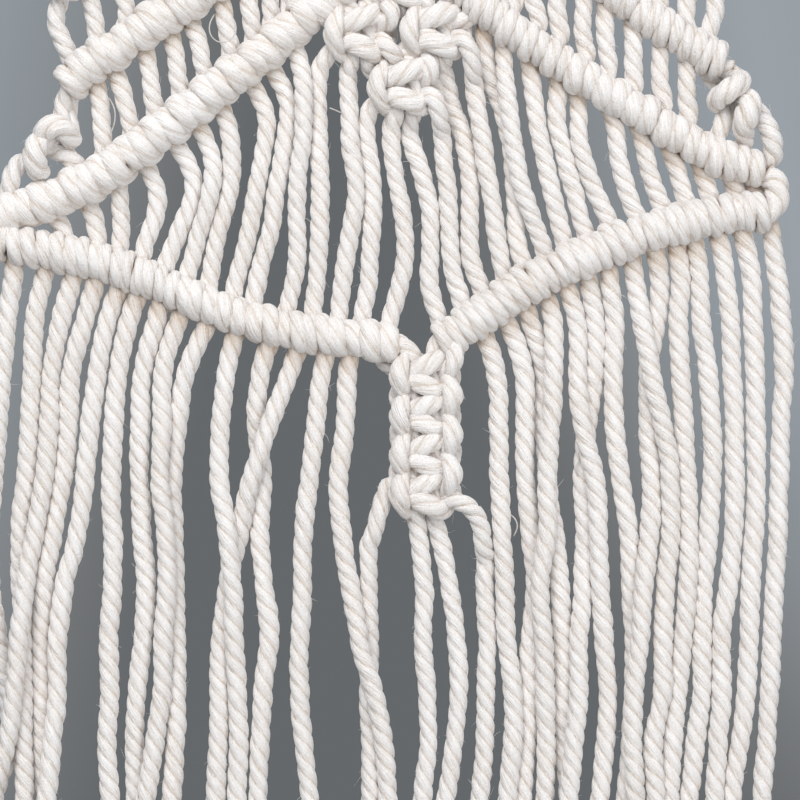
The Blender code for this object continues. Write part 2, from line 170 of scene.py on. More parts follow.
class Bundle:
    """The cords of one piece, gathered and made into one mesh."""

    def __init__(self, name):
        self.name, self.count = name, 0
        self.corners, self.quads, self.triangles, self.lay = [], [], [], []
        self.grooves, self.tones, self.shelters, self.hairs = [], [], [], []

    def add(self, rows, step=STEP, wobble=0.12, shelter=0.0):
        """Carries the three-ply section along a path.

        Corner j of a ring is at angle 2 pi j / CORNERS, less 2 pi for each lay of length, less the
        turn of the facing direction about the path, so that each ply is a steady left-hand helix.
        The lay is LAY, and up to TAUT_LAY times that where the section is pressed thin. The radius
        is 1 - GROOVE * (1 - sin(pi p) ** 0.6), where p runs from 0 to 1 across a ply, with only
        TAUT_GROOVE of that groove where it is pressed thin, and is stretched to the row's thickness
        and width. Cords pressed against each other meet in creases, which count as grooves, and
        grooves and creases get painted shade in the colour. The first length of the cord, shelter
        long, lies in the shade of its bar, which is painted into its colour as well.
        """
        rows = spaced(softened(rows), step)
        count = len(rows)
        along = distances(rows[:, PLACE])
        bends = np.arange(-DRIFT, along[-1] + (2 * DRIFT + STEP), DRIFT)
        drift = read_off(along, bends, chance.normal(0.0, 1.0, (3, len(bends))).T)
        path = rows[:, PLACE] + wobble * drift
        tangent = unit(np.gradient(path, axis=0))
        facing = carried(rows[:, FACING], tangent)
        side = np.cross(tangent, facing)
        turn = summed(np.arctan2(dot(facing[1:], side[:-1]), dot(facing[1:], facing[:-1])))
        taut = np.clip((HALF - rows[:, THICK]) / TAUT_BY, 0, 1)
        lays = summed(np.diff(along) / (LAY * (1 + (TAUT_LAY - 1) * taut[1:]))) * chance.uniform(*LAY_SPREAD)
        phase = chance.uniform(0, 2 * math.pi) - 2 * math.pi * lays - turn
        corner = np.arange(CORNERS)
        hollow = 1 - np.sin(math.pi * (corner % PLY_CORNERS) / PLY_CORNERS) ** 0.6
        radius = 1 - GROOVE * (1 - (1 - TAUT_GROOVE) * taut)[:, None] * hollow
        radius = radius * (1 + SWELL * drift[:, 2:])
        angle = phase[:, None] + 2 * math.pi * corner / CORNERS
        rings = (path[:, None] + (rows[:, THICK, None] * radius * np.cos(angle))[..., None] * facing[:, None]
                 + (rows[:, WIDE, None] * radius * np.sin(angle))[..., None] * side[:, None])

        first, last = self.count, self.count + (count - 1) * CORNERS
        middles = last + CORNERS
        self.count = middles + 2
        self.corners.append(np.vstack([rings.reshape(-1, 3), path[:1], path[-1:]]))
        here, following = np.arange(first, last, CORNERS)[:, None], (corner + 1) % CORNERS
        self.quads.append(np.stack([here + corner, here + following, here + CORNERS + following,
                                    here + CORNERS + corner], axis=-1).reshape(-1, 4))
        for middle, one, other in ((middles, first + following, first + corner),
                                   (middles + 1, last + corner, last + following)):
            self.triangles.append(np.stack([np.full(CORNERS, middle), one, other], axis=1))

        offset = chance.uniform(0, 200)
        around = ROUND * corner / CORNERS + PLY_JUMP * (corner // PLY_CORNERS)
        across = around - (FIBRE_SLOPE * ROUND * lays)[:, None]
        lengthwise = np.broadcast_to((offset + along)[:, None], across.shape)
        lay = np.stack([across, lengthwise], axis=-1)
        beside = lay + [ROUND / CORNERS, 0.0]
        self.lay.append(np.stack([lay[:-1], beside[:-1], beside[1:], lay[1:]], axis=2).reshape(-1, 2))
        # Painted shade: the groove value darkens the colour in the grooves between plies and in the creases
        # where pressed cords meet.
        crease = np.clip((np.abs(np.sin(angle)) - CREASE_FROM) / CREASE_OVER, 0, 1) * taut[:, None]
        in_groove = np.maximum(np.tile(PLY_GROOVE, PLIES) * (1 - 0.15 * taut)[:, None], CREASE_SHADE * crease)
        self.grooves.append(np.concatenate([in_groove.ravel(), [1.0, 1.0]]))
        self.tones.append(np.full(count * CORNERS + 2, chance.uniform(0, 1)))
        # Painted shade: shelter darkens the colour of the first length, which comes out in the shade under
        # its bar.
        under = np.exp(-(along / max(shelter, 0.01)) ** 4)
        self.shelters.append(np.concatenate([np.repeat(under, CORNERS), [1.0, 0.0]]))
        hairs = chance.integers(0, count, int(along[-1] * HAIRS))
        roots = rings[hairs, chance.integers(0, CORNERS, len(hairs))]
        self.hairs.append(np.stack([roots, roots - path[hairs], tangent[hairs]], axis=1))

    def piece(self, *nodes):
        """Makes the gathered cords one object, which stands for the given nodes."""
        triangles = np.vstack(self.triangles)
        faces = np.vstack(self.quads).tolist() + triangles.tolist()
        mesh = finished(self.name, np.vstack(self.corners), faces, cotton, *nodes)
        mesh.polygons.foreach_set("use_smooth", np.ones(len(faces), bool))
        lay = np.vstack([*self.lay, np.zeros((triangles.size, 2))])
        mesh.uv_layers.new(name="lay").data.foreach_set("uv", lay.ravel())
        for name, values in (("groove", self.grooves), ("tone", self.tones), ("shelter", self.shelters)):
            attribute = mesh.attributes.new(name, "FLOAT", "POINT")
            attribute.data.foreach_set("value", np.concatenate(values).astype(np.float32))


def math_node(operation, reflected=False):
    """A method of Shade that adds a Math node, with the shade as its second value if reflected."""
    def method(shade, *others):
        values = [*others, shade] if reflected else [shade, *others]
        return shade.nodes.add("ShaderNodeMath", {"operation": operation}, dict(enumerate(values)))
    return method


class Shade:
    """One output of some nodes. Arithmetic on it adds Math nodes."""

    def __init__(self, nodes, socket):
        self.nodes, self.socket = nodes, socket

    __add__, __radd__ = math_node("ADD"), math_node("ADD", reflected=True)
    __sub__, __rsub__ = math_node("SUBTRACT"), math_node("SUBTRACT", reflected=True)
    __mul__, __rmul__ = math_node("MULTIPLY"), math_node("MULTIPLY", reflected=True)
    __pow__, __abs__ = math_node("POWER"), math_node("ABSOLUTE")
    at_least, at_most = math_node("MAXIMUM"), math_node("MINIMUM")


class Nodes:
    """The nodes of a material or of the surround, added by type."""

    def __init__(self, owner, shader):
        owner.use_nodes = True
        self.owner, self.tree = owner, owner.node_tree
        self.shader = self.tree.nodes[shader]

    def add(self, kind, settings=None, values=None, output=0):
        """A node of a type: its settings come first, then numbers or links on its inputs."""
        node = self.tree.nodes.new(kind)
        for name, value in (settings or {}).items():
            if name == "stops":
                self.set_stops(node.color_ramp.elements, sorted(value.items()))
            else:
                setattr(node, name, value)
        self.fill(node, values or {})
        return Shade(self, node.outputs[output])

    def set_stops(self, elements, stops):
        for place, _ in stops[1:-1]:
            elements.new(place)
        for element, (place, colour) in zip(elements, stops):
            element.position, element.color = place, (*colour, 1.0)

    def fill(self, node, values):
        for name, value in values.items():
            if isinstance(value, Shade):
                self.tree.links.new(value.socket, node.inputs[name])
            else:
                node.inputs[name].default_value = value


# TAN is the darker colour of the fibres' streaks and of the painted shade in grooves, in creases and under
# the bars.
PALE, TAN = (0.918, 0.892, 0.883, 1.0), (0.62, 0.50, 0.395, 1.0)
FACTOR, OBJECT, MIXED_COLOUR = 2, 3, 2    # outputs of Attribute, Texture Coordinate and Mix nodes
MIX_A, MIX_B = 6, 7                       # colour inputs of a Mix node


def cotton_material():
    """Undyed cotton: pale cream fibres that run slantwise along each ply, with painted shade in the
    grooves, in the creases between pressed cords and under the bars.
    """
    nodes = Nodes(bpy.data.materials.new("undyed_cotton_cord"), "Principled BSDF")
    lay = nodes.add("ShaderNodeUVMap", {"uv_map": "lay"})
    groove, tone, shelter = (nodes.add("ShaderNodeAttribute", {"attribute_name": name}, output=FACTOR)
                             for name in ("groove", "tone", "shelter"))
    place = nodes.add("ShaderNodeTexCoord", output=OBJECT)

    def fibres(across, lengthwise, detail):
        """Noise drawn out along the fibres: fine across them, slow along them."""
        stretched = nodes.add("ShaderNodeVectorMath", {"operation": "MULTIPLY"},
                              {0: lay, 1: (across, lengthwise, 1.0)})
        return nodes.add("ShaderNodeTexNoise", {"noise_dimensions": "2D"},
                         {"Vector": stretched, "Scale": 1.0, "Detail": detail, "Roughness": 0.6})

    fine, threads = fibres(3.2, 0.26, 2.0), fibres(1.9, 0.15, 1.5)
    patch = nodes.add("ShaderNodeTexNoise", {}, {"Vector": place, "Scale": 45.0, "Detail": 3.0})
    grain = nodes.add("ShaderNodeTexNoise", {}, {"Vector": place, "Scale": 2300.0, "Detail": 2.0})
    line = nodes.add("ShaderNodeMapRange", {"interpolation_type": "SMOOTHSTEP"},
                     {"Value": threads, "From Min": 0.50, "From Max": 0.34})
    # The shade value mixes the fibres' own streaks and tone with painted shade: groove paints shade into
    # grooves and creases, shelter paints it under the bars.
    shade = (groove ** 3.0 * 0.46 + groove * 0.14 + line * 0.21 + (0.58 - fine) * 0.85 + (0.5 - grain) * 1.0
             + (patch - 0.45) * 0.35 + tone * 0.07 + shelter * 0.75)
    inside = nodes.add("ShaderNodeClamp", {}, {"Value": shade})
    colour = nodes.add("ShaderNodeMix", {"data_type": "RGBA"}, {0: inside, MIX_A: PALE, MIX_B: TAN},
                       output=MIXED_COLOUR)
    height = fine * 0.75 + threads * 0.75 + grain * 0.7
    bump = nodes.add("ShaderNodeBump", {}, {"Strength": 0.7, "Distance": 0.0006, "Height": height})
    nodes.fill(nodes.shader, {"Base Color": colour, "Roughness": 0.95, "Specular IOR Level": 0.2,
                              "Sheen Weight": 0.12, "Sheen Roughness": 0.8, "Normal": bump})
    return nodes.owner


cotton = cotton_material()

HEADING_HALF, HEADING_HEIGHT = 91.0, -5.2
LARKS, LEG_APART = 16, 2.75
# One leg of a lark's head: x in shares of LEG_APART, y, and z from the height of the holding cord.
LARK_LEG = [(0.0, -6.2, -4.4), (0.55, -5.9, -4.6), (1.0, -3.6, -5.4), (1.05, 0.4, -4.6), (1.0, 3.4, -1.4),
            (1.0, 3.2, 2.4), (1.0, 0.0, 4.1), (1.0, -3.2, 2.2), (1.0, -3.6, -1.2), (0.95, -2.2, -4.6),
            (0.95, 0.2, -8.5)]


def larks_head(middle):
    """Points of one cord doubled on the heading.

    The bight lies in front, and each leg goes from it below and behind the holding cord, over the
    top and down in front, behind the bight.
    """
    leg = np.array(LARK_LEG) * [LEG_APART, 1.0, 1.0] + [middle, 0.0, HEADING_HEIGHT]
    other = leg[:0:-1] * [-1.0, 1.0, 1.0] + [2 * middle, 0.0, 0.0]
    return np.vstack([other, leg])


heading = Bundle("heading")
heading.add(free([(side * (HEADING_HALF + 3), 0, HEADING_HEIGHT) for side in (-1, 0, 1)], 1.9, 1.9))
lark_middles = np.linspace(-1, 1, LARKS) * (HEADING_HALF - CORD)
lark_legs = np.sort(np.concatenate([lark_middles - 0.95 * LEG_APART, lark_middles + 0.95 * LEG_APART]))

# ---------------------------------------------------------------------------------------------
# Chevron A: from the middle, a holding cord runs down to each side, and fifteen cords are tied
# round it with double half hitches, two wraps each, pushed up tight against each other.

HOLDER, HOLDER_STEP = 2.1, 8        # half size of a holding cord in its wraps, and points per point of it
WRAP_RADIUS = 3.7                   # middle of a cord wrapped round a holding cord
WRAP_APART, WRAP_HALF = 0.24, 0.31  # from a hitch's middle to each wrap, and half a wrap, per hitch
DIAGONAL, ENDS_OUT = 2.4, 0.6       # at the back the second wrap crosses over the two ends
ONWARDS = 0.35                      # moved along the bar in each turn
ENTRY_HALF = 2.3                    # half size of the cord where it goes in or comes out behind
LEAST_ROOM = 6.4                    # along the bar for each hitch
LEAN_SPREAD, RADIUS_SPREAD, SHIFT_SPREAD, WIDTH_SPREAD = 0.06, 0.22, 0.15, 0.05


class Bar:
    """The middle line of a row of hitches, with its place and upright at any distance."""

    def __init__(self, points):
        self.line = curve([(x, 0.0, z) for x, z in points])
        self.along = distances(self.line)
        up = np.cross(unit(np.gradient(self.line, axis=0)), BACK)
        self.up = up * np.sign(up[:, 2:])

    def at(self, distance):
        """Place and upright at distances along the bar."""
        return read_off(distance, self.along, self.line), read_off(distance, self.along, self.up)

    def under(self, x, lean, edge=-5.2):
        """Distance along the bar where the foot of a wrap with the given lean is at x."""
        lower = self.line[:, 0] + edge * (self.up[:, 0] - lean)
        order = np.argsort(lower)
        return np.interp(x, lower[order], self.along[order])


def hitch(bar, spot, room, lean, radius=WRAP_RADIUS, thick=1.9, wide=WRAP_HALF, level=0.27):
    """Path rows of a double half hitch, from behind the bar to behind the bar.

    The cord turns twice round the holding cord: place = bar + radius * (-cos a towards the front,
    -sin a upwards), while a goes from 0 to 4 pi. It moves along the bar by sin(a / 2), held flat for
    each wrap in front, and steps outwards where it crosses its own ends behind. The two wraps stand
    nearer to level than the bar does, by the share level, so that the hitches go down like stairs.
    """
    turn = np.linspace(0.0, 2.0, 64)
    angle = 2 * math.pi * turn

    def uneven(spread):
        """A chance value for each wrap, with a short slope from one to the other."""
        return np.interp(turn, [0.8, 1.2], chance.normal(0, spread, 2))

    def peak(middle, reach):
        return np.exp(-((turn - middle) / reach) ** 2)

    shift = -np.clip(1.35 * np.sin(math.pi * turn), -1, 1) * WRAP_APART * room + ONWARDS * (turn - 1)
    leans = lean + uneven(LEAN_SPREAD)
    reach = radius + uneven(RADIUS_SPREAD) + DIAGONAL * peak(1, 0.15)
    reach = reach + ENDS_OUT * (peak(0, 0.12) + peak(2, 0.12))
    middle, up = bar.at(spot + shift + chance.normal(0, SHIFT_SPREAD))
    outwards = np.cos(angle)[:, None] * BACK - np.sin(angle)[:, None] * up
    place = middle + reach[:, None] * outwards
    place[:, 0] += leans * np.sin(angle) * reach
    place[:, 2] += level * shift * up[:, 0] / up[:, 2] + chance.normal(0, SHIFT_SPREAD)
    pressed = np.clip(np.minimum(turn, 2 - turn) / 0.25, 0, 1)
    thickness = ENTRY_HALF + (thick - ENTRY_HALF) * pressed
    width = ENTRY_HALF + (wide * room * (1 + uneven(WIDTH_SPREAD)) - ENTRY_HALF) * pressed
    return np.column_stack([place, outwards, thickness, width])


def tied(bundle, bar, leaves, lean, aside, **sizes):
    """Adds a hitch for each cord that leaves the bar, and gives where each goes in and comes out.

    The wraps lean to the left at their tops by lean, and stand aside from where their cords leave.
    Each hitch is evened with its neighbours.
    """
    spots = np.sort(bar.under(np.asarray(leaves) + aside, lean))
    spots[1:-1] = 0.5 * spots[1:-1] + 0.25 * (spots[:-2] + spots[2:])
    apart = np.diff(spots)
    rooms = np.maximum(np.maximum([apart[0], *apart], [*apart, apart[-1]]), LEAST_ROOM)
    ends = []
    for spot, room in zip(spots, rooms):
        rows = hitch(bar, spot, room, lean, **sizes)
        bundle.add(rows, step=0.9, wobble=0.06)
        ends.append((rows[0, PLACE], rows[-1, PLACE]))
    return sorted(ends, key=lambda end: end[0][0])


A_LEFT = Bar([(0, -24.5), (-26.3, -40.8), (-48.7, -55.5), (-57.9, -61.3), (-67.1, -67.1), (-73.6, -71.6),
              (-80.2, -76.0), (-86.3, -80.5), (-89.9, -84.2)])
A_RIGHT = Bar([(0, -24.5), (26.3, -39.0), (57.9, -58.7), (65.8, -64.7), (73.6, -70.0), (81.5, -75.0),
               (87.3, -78.4)])
A_LEFT_LEAVES = [-86.1, -80.9, -75.7, -67.3, -61.0, -55.2, -47.3, -41.0, -35.0, -29.5, -23.9, -18.1, -12.6,
                 -6.6, -1.8]
A_RIGHT_LEAVES = [2.1, 6.6, 12.1, 17.6, 23.4, 28.9, 34.5, 41.0, 48.7, 54.4, 60.8, 67.2, 73.4, 79.2, 84.6]

LEFT_SIZES = {"level": 0.19, "wide": 0.34, "thick": 1.95}

chevron_a = Bundle("chevron_a")
a_left_ends = tied(chevron_a, A_LEFT, A_LEFT_LEAVES, -0.05, 3.5, **LEFT_SIZES)
a_right_ends = tied(chevron_a, A_RIGHT, A_RIGHT_LEAVES, 0.30, -3.6)
for bar in (A_LEFT, A_RIGHT):
    chevron_a.add(free(bar.line[::HOLDER_STEP], HOLDER, HOLDER))
chevron_a.piece()

# The thirty-two lengths come straight down from the heading, but for those in BENT, and go in a
# little beside where they come out of the bar. The middle two become holding cords.
ENTRY_SHIFTS = {-1: 3.4, 1: -4.6}
LEG_TOP = HEADING_HEIGHT - 8.0
DEPTH_BEHIND = 3.2                  # how far behind a bar's middle its strands come out
for middle in lark_middles:
    heading.add(free(larks_head(middle), 2.2, 2.35))
entries = [(x + ENTRY_SHIFTS[side], start)
           for side, leaves, ends in ((-1, A_LEFT_LEAVES, a_left_ends), (1, A_RIGHT_LEAVES, a_right_ends))
           for x, (start, _) in zip(leaves, ends)]
hanging_legs = np.delete(lark_legs, [LARKS - 1, LARKS])
BENT = {0: [(-89.8, 1.0, -59.5), (-90.8, 0.6, -65.0), (-88.8, 1.4, -70.8)],
        1: [(-81.8, 0.8, -59.0), (-80.2, 1.0, -65.5)],
        2: [(-73.8, 1.0, -57.0), (-72.4, 1.6, -61.0)],
        28: [(76.4, 0.8, -57.0), (75.4, 1.2, -62.5)],
        29: [(83.2, 0.6, -58.0), (82.9, 0.6, -64.0), (81.0, 1.4, -69.2)]}
for number, (leg, (entry, start)) in enumerate(zip(hanging_legs, entries)):
    above = start[2] + 6.5
    straight = [(0.5 * (leg + entry), 1.5, 0.5 * (LEG_TOP + above)), (entry, DEPTH_BEHIND, above)]
    heading.add(free([(leg, 0.4, LEG_TOP), (leg, 0.8, LEG_TOP - 0.1 * (LEG_TOP - above) - 1.0),
                      *BENT.get(number, straight), tuple(start)]))
# A knot of the outermost cord above the left end, as points (x, y, z, radius).
TOP_KNOT = [(-83.4, 1.0, -46.0, 2.5), (-83.0, 2.6, -50.5, 2.5), (-83.6, 1.0, -54.5, 2.7),
            (-84.8, -2.6, -57.6, 3.0), (-87.8, -4.6, -58.4, 3.2), (-90.6, -3.4, -56.0, 3.0),
            (-91.8, 0.6, -54.0, 2.8), (-90.0, 3.6, -52.4, 2.6), (-86.6, 3.4, -52.8, 2.5),
            (-84.6, 3.0, -56.0, 2.5)]
heading.add(free(TOP_KNOT))
for side, leg in zip((-1, 1), lark_legs[LARKS - 1:]):
    heading.add(free([(leg, 0.4, LEG_TOP), (leg, 0.3, -18.0), (0.6 * side, 0.2, -24.5),
                      (side * 3.0, 0.0, -26.5)], 2.3, 2.3))
heading.piece()

# ---------------------------------------------------------------------------------------------
# Chevron B: the innermost cord of each side becomes the holding cord of a second, longer pair of
# arms. At the side edges both holding cords turn back towards the middle.

B_LEFT = Bar([(0.5, -45.5), (-10.5, -52.9), (-26.3, -65.3), (-39.5, -76.6), (-52.6, -86.6), (-65.8, -96.8),
              (-78.9, -106.4), (-89.4, -111.3), (-94.7, -113.8), (-100, -115.2), (-105.2, -116.8)])
B_RIGHT = Bar([(0.5, -45.5), (10.5, -53.4), (26.3, -65.3), (42.1, -76.6), (52.6, -83.1), (63.1, -89.7),
               (73.6, -95.8), (78.9, -98.7), (84.2, -101.6), (89.4, -103.1), (94.7, -105.0), (98.9, -106.6)])
B_LEFT_LEAVES = [-102.0, -92.8, -83.6, -75.2, -68.4, -60.0, -53.1, -47.6, -39.5, -34.7, -28.4, -20.8, -15.0,
                 -9.0, -3.0]
B_RIGHT_LEAVES = [3.5, 8.8, 14.2, 19.0, 23.5, 28.3, 34.2, 41.0, 46.3, 54.7, 62.6, 71.0, 78.1, 84.8, 92.1]
chevron_b = Bundle("chevron_b")
b_left_ends = tied(chevron_b, B_LEFT, B_LEFT_LEAVES, -0.05, -2.5, **LEFT_SIZES)
b_right_ends = tied(chevron_b, B_RIGHT, B_RIGHT_LEAVES, 0.30, -0.4)
b_ends = b_left_ends + b_right_ends
for bar in (B_LEFT, B_RIGHT):
    chevron_b.add(free(bar.line[::HOLDER_STEP], HOLDER, HOLDER))

# ---------------------------------------------------------------------------------------------
# Strands from A to B: short straight lengths, seen from where they come out under one bar to
# where they go in behind the next. The outer cords of each side are tied in an edge knot first.

Short = namedtuple("Short", "top foot x_top x_third x_two_thirds x_foot")
A_TO_B_LEFT = [
    Short(-79.7, -100.8, -80.5, -79.1, -78.6, -78.1),
    Short(-75.8, -95.5, -75.7, -73.6, -72.2, -70.7),
    Short(-71.8, -91.0, -67.3, -66.2, -65.5, -64.4),
    Short(-67.4, -85.0, -61.0, -59.5, -58.7, -57.9),
    Short(-65.3, -81.0, -55.2, -53.1, -52.3, -51.3),
    Short(-57.4, -73.7, -47.3, -46.5, -45.7, -44.7),
    Short(-53.4, -70.0, -41.0, -40.1, -39.3, -38.7),
    Short(-49.5, -64.7, -35.0, -34.6, -34.2, -33.9),
    Short(-46.3, -58.7, -29.5, -29.3, -29.1, -28.9),
    Short(-42.6, -54.2, -23.9, -23.7, -23.3, -22.9),
    Short(-39.0, -49.5, -18.1, -17.8, -17.3, -16.8),
    Short(-35.0, -46.3, -12.6, -12.1, -11.6, -11.0),
    Short(-31.1, -42.6, -6.6, -6.3, -5.8, -5.3),
]
A_TO_B_RIGHT = [
    Short(-29.0, -46.3, 6.6, 6.3, 6.3, 6.3),
    Short(-32.4, -50.0, 12.1, 11.9, 12.0, 12.1),
    Short(-35.8, -53.7, 17.6, 17.6, 17.7, 17.9),
    Short(-38.4, -57.9, 23.4, 23.4, 23.6, 23.9),
    Short(-41.6, -61.3, 28.9, 29.3, 29.7, 30.2),
    Short(-45.5, -66.3, 34.5, 34.7, 35.0, 37.1),
    Short(-49.0, -70.5, 41.0, 41.0, 41.5, 42.3),
    Short(-53.7, -75.3, 48.7, 48.5, 48.1, 49.4),
    Short(-57.9, -78.9, 54.2, 54.2, 54.4, 55.2),
    Short(-63.7, -84.2, 61.0, 61.5, 61.5, 61.3),
    Short(-68.4, -88.4, 68.6, 68.6, 68.7, 69.7),
    Short(-71.0, -92.1, 75.0, 75.7, 75.7, 76.3),
]

UNDER_BAR = 9.0                     # length of a strand that lies in the shade of its bar
middle_strands = Bundle("strands_a_to_b")
for rows, tops, feet in ((A_TO_B_LEFT, a_left_ends[1:14], b_left_ends[2:15]),
                         (A_TO_B_RIGHT, a_right_ends[1:13], b_right_ends[0:12])):
    for row, (_, out), (into, _) in zip(rows, tops, feet):
        depth = [DEPTH_BEHIND, 1.9, 1.9, DEPTH_BEHIND]
        line = np.column_stack([row[2:], depth, np.linspace(row.top, row.foot, 4)])
        middle_strands.add(free(np.vstack([out, line, into])), shelter=UNDER_BAR)

# Edge knots, as points (x, y, z, radius) from one bar to the next.
LEFT_THICK = [(-89.2, 1.6, -88.0, 2.5), (-89.2, 1.6, -92.0, 2.5), (-91.4, 1.0, -96.2, 2.7),
              (-94.0, -2.8, -97.2, 3.0), (-95.5, -4.6, -100.2, 3.3), (-95.2, -3.8, -103.6, 3.2),
              (-94.6, 0.4, -105.4, 2.9), (-96.4, 2.6, -103.8, 2.7), (-98.6, 1.8, -102.0, 2.6),
              (-100.8, 0.2, -103.4, 2.7), (-102.4, -0.4, -106.8, 2.7), (-103.2, 0.8, -110.4, 2.6)]
LEFT_THIN = [(-87.6, 3.6, -88.6, 2.4), (-87.2, 3.4, -92.0, 2.4), (-86.4, 1.4, -96.8, 2.7),
             (-86.6, -2.2, -95.8, 3.0), (-88.6, -4.8, -93.6, 3.3), (-91.6, -4.8, -94.0, 3.3),
             (-93.5, -2.4, -96.0, 3.0), (-93.2, 1.2, -98.0, 2.7), (-91.0, 2.4, -99.4, 2.5),
             (-88.6, 1.4, -100.4, 2.5), (-86.2, 1.2, -102.1, 2.5), (-84.4, 2.8, -103.8, 2.5)]
RIGHT_THICK = [(84.4, 4.4, -80.6, 2.5), (88.6, 3.6, -83.6, 2.6), (92.0, 1.8, -86.8, 2.7),
               (94.2, 0.4, -89.6, 2.8), (96.4, -0.4, -93.2, 2.8), (98.0, 0.0, -97.6, 2.8),
               (98.2, 1.6, -101.4, 2.6)]
RIGHT_THIN = [(83.4, -0.4, -77.0, 2.4), (87.0, 0.4, -79.0, 2.5), (89.6, -1.0, -81.0, 2.7),
              (88.1, -4.4, -82.6, 3.2), (85.2, -4.9, -84.6, 3.3), (83.1, -2.0, -86.2, 3.0),
              (83.8, 1.4, -87.2, 2.7), (86.8, 2.8, -87.2, 2.6), (89.2, 1.6, -85.8, 2.6),
              (91.4, -1.4, -86.0, 3.0), (91.3, -4.2, -88.6, 3.5), (90.4, -4.2, -91.6, 3.5),
              (90.0, -1.2, -94.1, 3.0), (91.0, 2.4, -97.0, 2.5)]
RIGHT_BEHIND = [(83.0, 4.4, -80.5, 2.5), (86.4, 4.2, -84.5, 2.5), (86.6, 2.8, -88.0, 2.5),
                (85.4, 0.8, -91.0, 2.6), (84.4, 0.8, -94.0, 2.5), (83.8, 3.0, -96.6, 2.5)]
edge_cords = Bundle("edge_knots")
for out, line, into in ((a_left_ends[0][1], LEFT_THIN, b_left_ends[1][0]),
                        ((-86.6, 0.6, -82.4), LEFT_THICK, b_left_ends[0][0]),
                        (A_RIGHT.line[-1], RIGHT_THIN, b_right_ends[13][0]),
                        (a_right_ends[14][1], RIGHT_THICK, b_right_ends[14][0]),
                        (a_right_ends[13][1], RIGHT_BEHIND, b_right_ends[12][0])):
    edge_cords.add(free([(*out, HALF), *line, (*into, 2.3)]), step=0.9)
for out, into in ((a_left_ends[14][1], B_LEFT.line[0]), (a_right_ends[0][1], B_RIGHT.line[0])):
    middle_strands.add(free([out, (out[0], 2.6, out[2] - 6.0), (into[0], 1.0, into[2] + 6.0), into]))
middle_strands.piece()
edge_cords.piece()

# ---------------------------------------------------------------------------------------------
# Square knots under B's middle: the two outer cords of four are tied round the two inner ones.
# The first knot hangs in the middle, two lie side by side below it, and one lies between those.

Square = namedtuple("Square", "x z half_width height rise")
KNOT_DEPTH = 4.3


def square_cords(knot, start, end, thick=2.2, wide=3.05, bump_wide=3.25):
    """Path rows of the two tying cords of a square knot, for turns from start to end.

    At turn t the height is -height * t - rise * height * sin 4 pi t. The cord that crosses in
    front is at x = X cos 2 pi t and depth -D cos 4 pi t towards the front; the one that goes behind
    is at x = -X cos 2 pi t and depth D cos 4 pi t, and stands in front at both sides.
    """
    turn = np.linspace(start, end, int(60 * (end - start)) + 2)
    down = -knot.height * turn - knot.rise * knot.height * np.sin(4 * math.pi * turn)
    rows = []
    for sign in (1, -1):
        beside = sign * np.cos(2 * math.pi * turn)
        front = -sign * np.cos(4 * math.pi * turn)
        place = np.stack([knot.x + knot.half_width * beside, -KNOT_DEPTH * front, knot.z + down], axis=1)
        outwards = unit(np.stack([beside, -front, 0 * beside], axis=1))
        bump = np.clip(np.abs(beside) * 1.6 - 0.6, 0, 1)
        rows.append(np.column_stack([place, outwards, np.full(len(turn), thick),
                                     wide + (bump_wide - wide) * bump]))
    return rows


K_TOP = Square(0.0, -54.7, 7.2, 15.0, 0.21)
K_LEFT = Square(-10.5, -68.9, 7.2, 14.4, 0.21)
K_RIGHT = Square(9.4, -68.3, 7.2, 14.0, 0.20)
K_LOW = Square(1.3, -83.0, 7.5, 14.2, 0.20)
CROSSING_END, LOOPING_END, INNER_END, INNER_APART = 0.41, 0.375, 0.46, 2.2
CROSSING, LOOPING, INNER_LEFT, INNER_RIGHT = range(4)


def knot_part(knot, role):
    """Path rows of one cord of a square knot: the crossing, the looping or one of the inner cords."""
    if role == LOOPING:
        return square_cords(knot, -LOOPING_END, LOOPING_END)[LOOPING]
    if role == CROSSING:
        turns = [(knot.x - 1.22 * knot.half_width, 1.9, knot.z + up * 0.36 * knot.height) for up in (1, -1)]
        return joined(turns[0], square_cords(knot, -CROSSING_END, CROSSING_END)[CROSSING], turns[1])
    aside = -INNER_APART if role == INNER_LEFT else INNER_APART
    return joined(*[(knot.x + aside, 0.0, knot.z + up * INNER_END * knot.height)
                    for up in (1, 0.5, 0, -0.5, -1)])


def joined(*parts):
    """One path from parts, each rows or loose (x, y, z) points; a smooth line fills the gaps."""
    rows = []
    for part in parts:
        part = np.atleast_2d(np.asarray(part, float))
        if part.shape[1] == 3:
            count = len(part)
            part = np.column_stack([part, np.zeros((count, 3)), np.full((count, 2), HALF)])
        rows.append(part)
    rows = np.vstack(rows)
    rows = rows[np.diff(distances(rows[:, PLACE]), prepend=-1.0) > 0.05]
    line = curve(rows)
    along = distances(rows[:, PLACE])
    wanted = np.linspace(0.0, along[-1], len(line))
    known = np.linalg.norm(rows[:, FACING], axis=1) > 0.5
    line[:, FACING] = read_off(wanted, along, rows[:, FACING])
    line[np.interp(wanted, along, known) < 0.98, FACING] = 0.0
    return line


